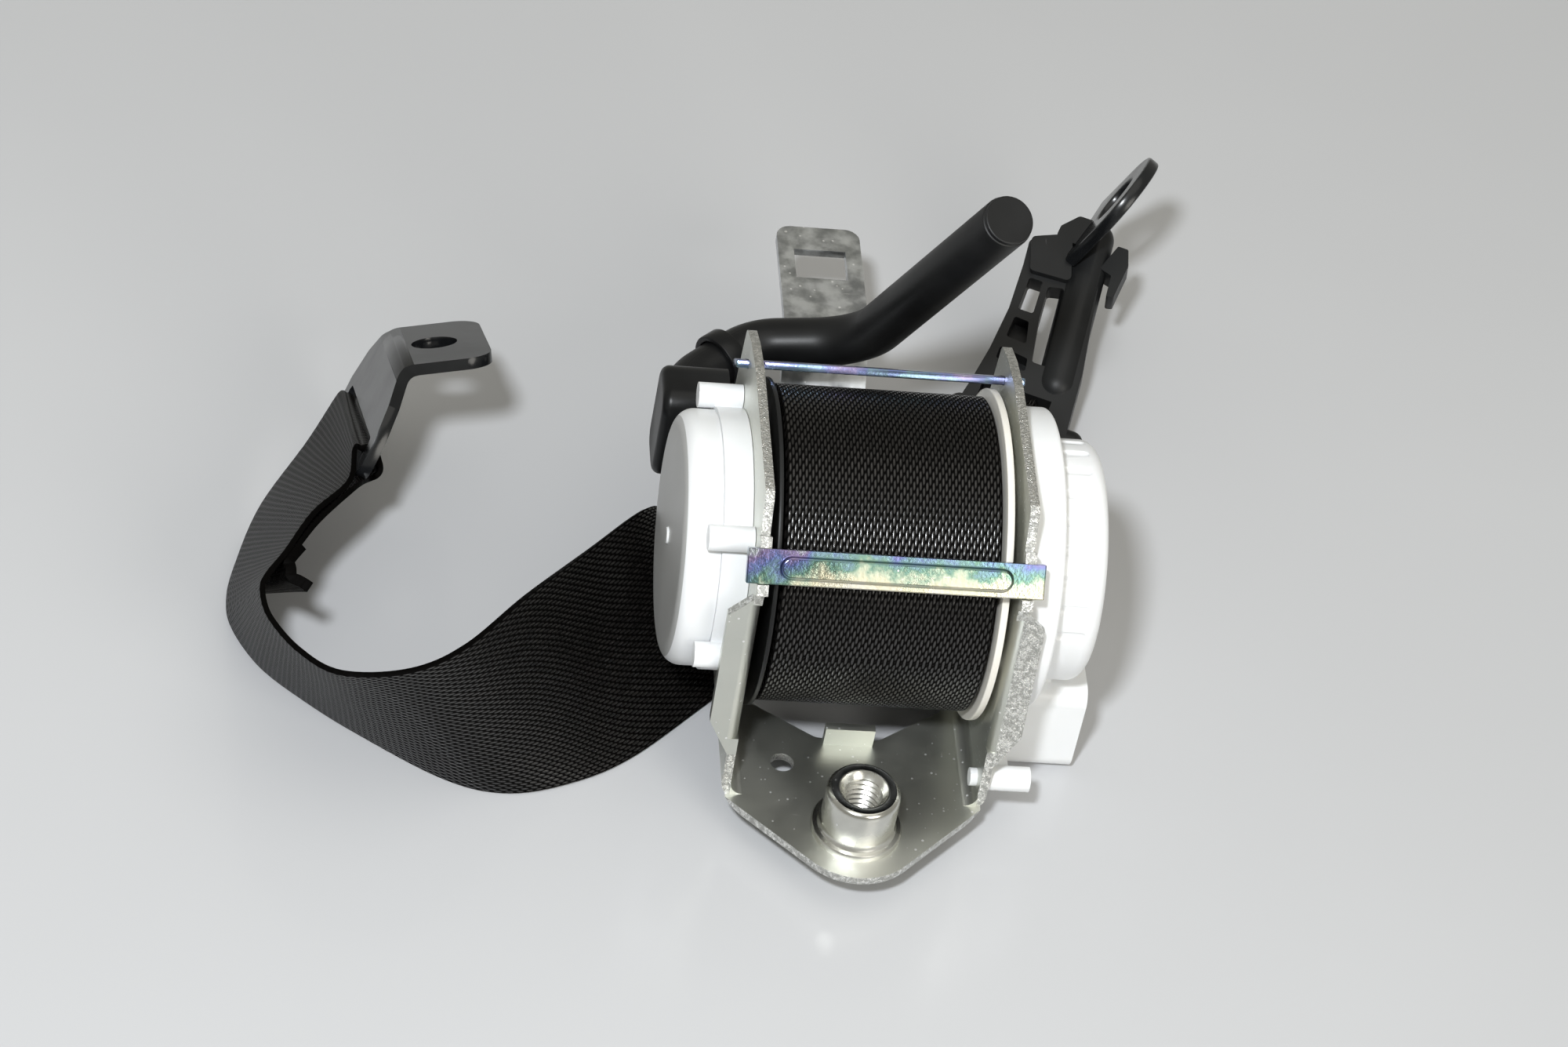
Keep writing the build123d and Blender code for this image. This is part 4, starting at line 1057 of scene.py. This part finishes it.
# Wound webbing
rollSizes = {
    "axis": (0.048, 0.040), "radius": 0.0345, "core": 0.01205, "half": 0.0235, "ply": 0.0012,
    "plyFrom": 0.0003, "plyTo": 0.0009, "groove": 0.0005, "uneven": 0.00018, "inset": 0.0002,
    "rim": 0.0006, "bands": 14, "segments": 144, "smoothBelow": 50,
}


def rollProfile():
    # the side shows the edge of each ply, a little proud or sunk, with a groove between plies
    size = rollSizes
    edge = -size["half"]
    layers = int((size["radius"] - size["core"]) / size["ply"])
    side = [(size["core"], edge)]
    for layer in range(layers):
        r = size["radius"] - (layers - layer) * size["ply"]
        x = edge + size["uneven"] * ((layer * 7) % 5 - 2) + size["inset"]
        side += [(r, edge + size["groove"]), (r + size["plyFrom"], x), (r + size["plyTo"], x)]
    side.append((size["radius"], edge + size["rim"]))
    middle = [
        (size["radius"], size["half"] * (2 * i / size["bands"] - 1)) for i in range(1, size["bands"])]
    return side + middle + [(r, -x) for r, x in side[::-1]] + [side[0]]


def wrapAround(piece):
    # the weave's own coordinates: across the webbing, then round the roll, in metres
    size = rollSizes
    layer = piece.data.uv_layers.new(name="webUV")
    yAxis, zAxis = size["axis"]
    for face in piece.data.polygons:
        middle = math.atan2(face.center.z - zAxis, face.center.y - yAxis)
        for loop in face.loop_indices:
            point = piece.data.vertices[piece.data.loops[loop].vertex_index].co
            turn = math.atan2(point.z - zAxis, point.y - yAxis) - middle
            turn = (turn + math.pi) % (2 * math.pi) - math.pi
            layer.data[loop].uv = (point.x + size["half"], (middle + turn) * size["radius"])


def makeRoll():
    size = rollSizes
    piece = turnedPiece("woundWebbing", rollProfile(), size["segments"])
    piece.rotation_euler = (0, math.radians(90), 0)
    piece.location = (0, *size["axis"])
    bpy.ops.object.transform_apply(location=True, rotation=True, scale=True)
    wrapAround(piece)
    bpy.ops.object.shade_smooth_by_angle(angle=math.radians(size["smoothBelow"]))
    finishPiece(piece, "spool", "webbing", ["web"], "webbing_roll")


makeRoll()
print("wound webbing made")
